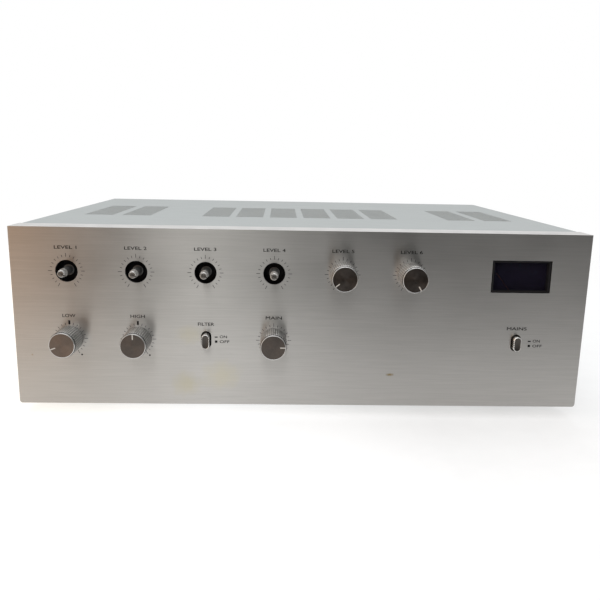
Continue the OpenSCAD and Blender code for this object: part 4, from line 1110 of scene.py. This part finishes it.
class AMPLIFIER_OT_fit_rear(bpy.types.Operator):
    """Finish the sockets, terminals, fuse holder and mains inlet, and print the terminals' numbers"""
    bl_idname = "amplifier.fit_rear"
    bl_label = "Fit the rear"

    def execute(self, context):
        nickel = plain_finish("socket_nickel", (0.58, 0.55, 0.49), (0.76, 0.73, 0.67), (0.18, 0.32), 1.0,
                              900.0)
        brass = plain_finish("terminal_brass", (0.5, 0.42, 0.26), (0.68, 0.6, 0.42), (0.26, 0.42), 1.0,
                             900.0)
        dress("phono_sockets", nickel, 0.25 * MM)
        dress("terminal_screws", brass, 0.2 * MM)
        for node in ("terminal_block", "fuse_holder", "fuse_cap", "mains_inlet"):
            dress(node, moulded_black(), 0.3 * MM)
        ink = panel_ink(context.scene.amplifier_marks)
        make_piece("terminal_numbers", self.terminal_numbers(), [ink], "case")
        return {"FINISHED"}

    def terminal_numbers(self):
        """A number over each terminal, counted from the left as seen from behind."""
        terminals = 5
        screw_width = 6.0 * MM
        digit_width = 1.6 * MM
        digit_height = 2.6 * MM
        low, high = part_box("terminal_screws")
        pitch = (high.x - low.x - screw_width) / (terminals - 1)
        first = middle("terminal_block").x + pitch * (terminals - 1) / 2
        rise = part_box("terminal_block")[1].z + 3.0 * MM
        shape = bmesh.new()
        for k in range(terminals):
            add_words(shape, str(k + 1), digit_width, digit_height, rear_place(first - k * pitch, rise, INK))
        return shape


class AMPLIFIER_OT_fill_case(bpy.types.Operator):
    """Finish the transformers, boards, capacitors and heat sink inside"""
    bl_idname = "amplifier.fill_case"
    bl_label = "Finish the inside"

    def execute(self, context):
        iron = layered("core_iron", (0.03, 0.03, 0.035), (0.11, 0.11, 0.12), 2000.0, "Y", (0.45, 0.65), 0.8)
        copper = layered("winding_copper", (0.26, 0.1, 0.03), (0.55, 0.26, 0.1), 1200.0, "Z",
                         (0.3, 0.45), 0.6)
        for name in ("mains", "output"):
            dress(name + "_core", iron, 0.3 * MM)
            dress(name + "_winding", copper, 1.2 * MM)
        green = plain_finish("board_green", (0.012, 0.09, 0.035), (0.03, 0.16, 0.06), (0.3, 0.45),
                             cells=350.0)
        brown = plain_finish("board_brown", (0.17, 0.09, 0.035), (0.26, 0.15, 0.06), (0.4, 0.55),
                             cells=350.0)
        sleeve = plain_finish("capacitor_sleeve", (0.01, 0.03, 0.1), (0.02, 0.05, 0.15), (0.25, 0.38),
                              cells=260.0)
        sink = plain_finish("sink_black", (0.012, 0.012, 0.013), (0.03, 0.03, 0.032), (0.45, 0.6), 0.5,
                            800.0)
        can = plain_finish("transistor_steel", (0.5, 0.5, 0.47), (0.68, 0.68, 0.64), (0.25, 0.38), 1.0,
                           700.0)
        dress("main_board", brown)
        dress("control_board", green)
        dress("filter_capacitors", sleeve, 1.2 * MM)
        dress("heat_sink", sink, 0.3 * MM)
        dress("power_transistors", can, 0.3 * MM)
        return {"FINISHED"}


class AMPLIFIER_OT_set_stage(bpy.types.Operator):
    """Lay the pale floor, hang the soft light and place the camera"""
    bl_idname = "amplifier.set_stage"
    bl_label = "Set the stage"

    def execute(self, context):
        settings = context.scene.amplifier_stage
        context.scene.view_settings.view_transform = "Standard"
        key_place = (0.0, 0.3, 2.0)
        key_size = (1.6, 1.6)
        front_place = (-0.18, -1.0, 1.05)
        front_size = (0.35, 0.8)
        self.lay_floor(settings)
        self.light_world(context)
        self.hang_light(context, "key_light", settings.key_power, key_place, key_size)
        self.hang_light(context, "front_light", settings.front_power, front_place, front_size)
        self.place_camera(context, settings)
        return {"FINISHED"}

    def lay_floor(self, settings):
        """A flat floor whose front edge lies just in front of the picture."""
        side = 1.2
        front = -0.4
        rear = 1.2
        shape = bmesh.new()
        corners = ((-side, front, 0.0), (side, front, 0.0), (side, rear, 0.0), (-side, rear, 0.0))
        shape.faces.new([shape.verts.new(corner) for corner in corners])
        mesh = bpy.data.meshes.new("floor")
        shape.to_mesh(mesh)
        shape.free()
        mesh.materials.append(self.pale_floor(settings))
        floor = bpy.data.objects.new("floor", mesh)
        bpy.context.scene.collection.objects.link(floor)

    def pale_floor(self, settings):
        """A floor that is lit from within like a light table, and fades out round the amplifier."""
        warm_stretch = (-0.26, -0.08)
        glow_stretch = (-0.06, 0.1)
        left_glow = 1.42 * settings.glow
        right_glow = 1.01 * settings.glow
        fade = (0.55, 1.1)
        finish, tree, shader = start_finish("pale_floor", {"Roughness": 0.8})
        place = object_place(tree, (1.0, 1.0, 1.0))
        across = add_node(tree, "ShaderNodeSeparateXYZ", {"Vector": place}).outputs["X"]
        warmth = spread(tree, across, NOISE_LOW, NOISE_HIGH, *warm_stretch)
        set_sockets(shader, {
            "Base Color": between(tree, grain(tree, 60.0), scaled(settings.floor, 0.98),
                                  scaled(settings.floor, 1.02)),
            "Emission Color": between(tree, warmth, (1.0, 0.94, 0.85), (1.0, 1.0, 1.0)),
            "Emission Strength": spread(tree, across, left_glow, right_glow, *glow_stretch),
            "Alpha": spread(tree, from_middle(tree), 1.0, 0.0, *fade),
        })
        return finish

    def light_world(self, context):
        """A white backdrop, and a room: warm at the left, light in the middle and dark at the right."""
        left_to_right = (
            (0.1, (0.7, 0.58, 0.47)),
            (0.3, (0.64, 0.37, 0.2)),
            (0.36, (0.03, 0.018, 0.01)),
            (0.385, (0.01, 0.008, 0.006)),
            (0.43, (0.5, 0.496, 0.475)),
            (0.48, (0.17, 0.17, 0.16)),
            (0.53, (0.045, 0.045, 0.043)),
            (0.6, (0.013, 0.013, 0.012)),
            (0.8, (0.017, 0.017, 0.017)),
        )
        pale = (0.266, 0.27, 0.273)
        rear_stretch = (-0.25, 0.35)
        ceiling_stretch = (0.2, 0.7)
        strength = (1.35, 3.0)
        strength_stretch = (-0.1, 0.7)
        world = bpy.data.worlds.new("studio")
        context.scene.world = world
        world.use_nodes = True
        tree = world.node_tree
        generated = add_node(tree, "ShaderNodeTexCoord", {}).outputs["Generated"]
        way = add_node(tree, "ShaderNodeSeparateXYZ", {"Vector": generated}).outputs
        across = add_node(tree, "ShaderNodeValToRGB", {"Fac": spread(tree, way["X"], 0.0, 1.0, -1.0, 1.0)})
        across.color_ramp.interpolation = "B_SPLINE"
        stops = across.color_ramp.elements
        stops.remove(stops[1])
        stops[0].position = left_to_right[0][0]
        stops[0].color = (*left_to_right[0][1], 1.0)
        for position, colour in left_to_right[1:]:
            stops.new(position).color = (*colour, 1.0)
        to_rear = spread(tree, way["Y"], 0.0, 1.0, *rear_stretch)
        to_ceiling = spread(tree, way["Z"], 0.0, 1.0, *ceiling_stretch)
        colour = turned_to(tree, to_rear, across.outputs["Color"], pale)
        room = tree.nodes["Background"]
        set_sockets(room, {
            "Color": turned_to(tree, to_ceiling, colour, pale),
            "Strength": spread(tree, way["Z"], *strength, *strength_stretch),
        })
        backdrop = add_node(tree, "ShaderNodeBackground", {"Color": (1.0, 1.0, 1.0, 1.0)})
        rays = add_node(tree, "ShaderNodeLightPath", {})
        # The mix's two shaders have the same name, so they go by their numbers
        mix = add_node(tree, "ShaderNodeMixShader", {
            "Fac": rays.outputs["Is Camera Ray"],
            1: room.outputs["Background"],
            2: backdrop.outputs["Background"],
        })
        set_sockets(tree.nodes["World Output"], {"Surface": mix.outputs["Shader"]})

    def hang_light(self, context, name, power, place, size):
        """A soft light that faces the amplifier."""
        aim = Vector((0.0, 0.0, 0.05))
        light = bpy.data.lights.new(name, "AREA")
        light.energy = power
        light.shape = "RECTANGLE"
        light.size, light.size_y = size
        lamp = bpy.data.objects.new(name, light)
        lamp.location = place
        lamp.rotation_euler = (aim - Vector(place)).to_track_quat("-Z", "Y").to_euler()
        context.scene.collection.objects.link(lamp)

    def place_camera(self, context, settings):
        """Puts the camera where the picture was taken from."""
        view_axes = Matrix(((1, 0, 0), (0, 0, -1), (0, 1, 0)))
        looking = (Matrix.Rotation(settings.roll, 3, "Z") @ Matrix.Rotation(settings.tilt, 3, "X")
                   @ Matrix.Rotation(-settings.turn, 3, "Y") @ view_axes)
        place = Matrix((looking[0], -looking[1], -looking[2])).transposed().to_4x4()
        place.translation = settings.place
        camera = bpy.data.cameras.new("camera")
        camera.lens = settings.lens
        camera.sensor_width = 36.0
        camera.clip_start = 0.01
        holder = bpy.data.objects.new("camera", camera)
        holder.matrix_world = place
        context.scene.collection.objects.link(holder)
        context.scene.camera = holder


class AMPLIFIER_PT_looks(bpy.types.Panel):
    """Lists the steps that dress the amplifier."""
    bl_idname = "AMPLIFIER_PT_looks"
    bl_label = "Mixer Amplifier"
    bl_space_type = "VIEW_3D"
    bl_region_type = "UI"
    bl_category = "Amplifier"

    def draw(self, context):
        for operator in OPERATORS:
            self.layout.operator(operator.bl_idname)


SETTINGS = {
    "amplifier_case": CaseSettings,
    "amplifier_panel": PanelSettings,
    "amplifier_marks": MarkSettings,
    "amplifier_knobs": KnobSettings,
    "amplifier_shafts": ShaftSettings,
    "amplifier_buttons": ButtonSettings,
    "amplifier_meter": MeterSettings,
    "amplifier_stage": StageSettings,
}
OPERATORS = (
    AMPLIFIER_OT_dress_case,
    AMPLIFIER_OT_dress_panel,
    AMPLIFIER_OT_print_marks,
    AMPLIFIER_OT_turn_knobs,
    AMPLIFIER_OT_turn_shafts,
    AMPLIFIER_OT_make_buttons,
    AMPLIFIER_OT_fit_meter,
    AMPLIFIER_OT_fit_rear,
    AMPLIFIER_OT_fill_case,
    AMPLIFIER_OT_set_stage,
)


def register():
    for name, group in SETTINGS.items():
        bpy.utils.register_class(group)
        setattr(bpy.types.Scene, name, PointerProperty(type=group))
    for operator in OPERATORS:
        bpy.utils.register_class(operator)
    bpy.utils.register_class(AMPLIFIER_PT_looks)


def unregister():
    bpy.utils.unregister_class(AMPLIFIER_PT_looks)
    for operator in reversed(OPERATORS):
        bpy.utils.unregister_class(operator)
    for name, group in reversed(SETTINGS.items()):
        delattr(bpy.types.Scene, name)
        bpy.utils.unregister_class(group)


def main():
    """Dresses the amplifier step by step."""
    register()
    bpy.ops.amplifier.dress_case()
    bpy.ops.amplifier.dress_panel()
    bpy.ops.amplifier.print_marks()
    bpy.ops.amplifier.turn_knobs()
    bpy.ops.amplifier.turn_shafts()
    bpy.ops.amplifier.make_buttons()
    bpy.ops.amplifier.fit_meter()
    bpy.ops.amplifier.fit_rear()
    bpy.ops.amplifier.fill_case()
    bpy.ops.amplifier.set_stage()


if __name__ == "__main__":
    main()
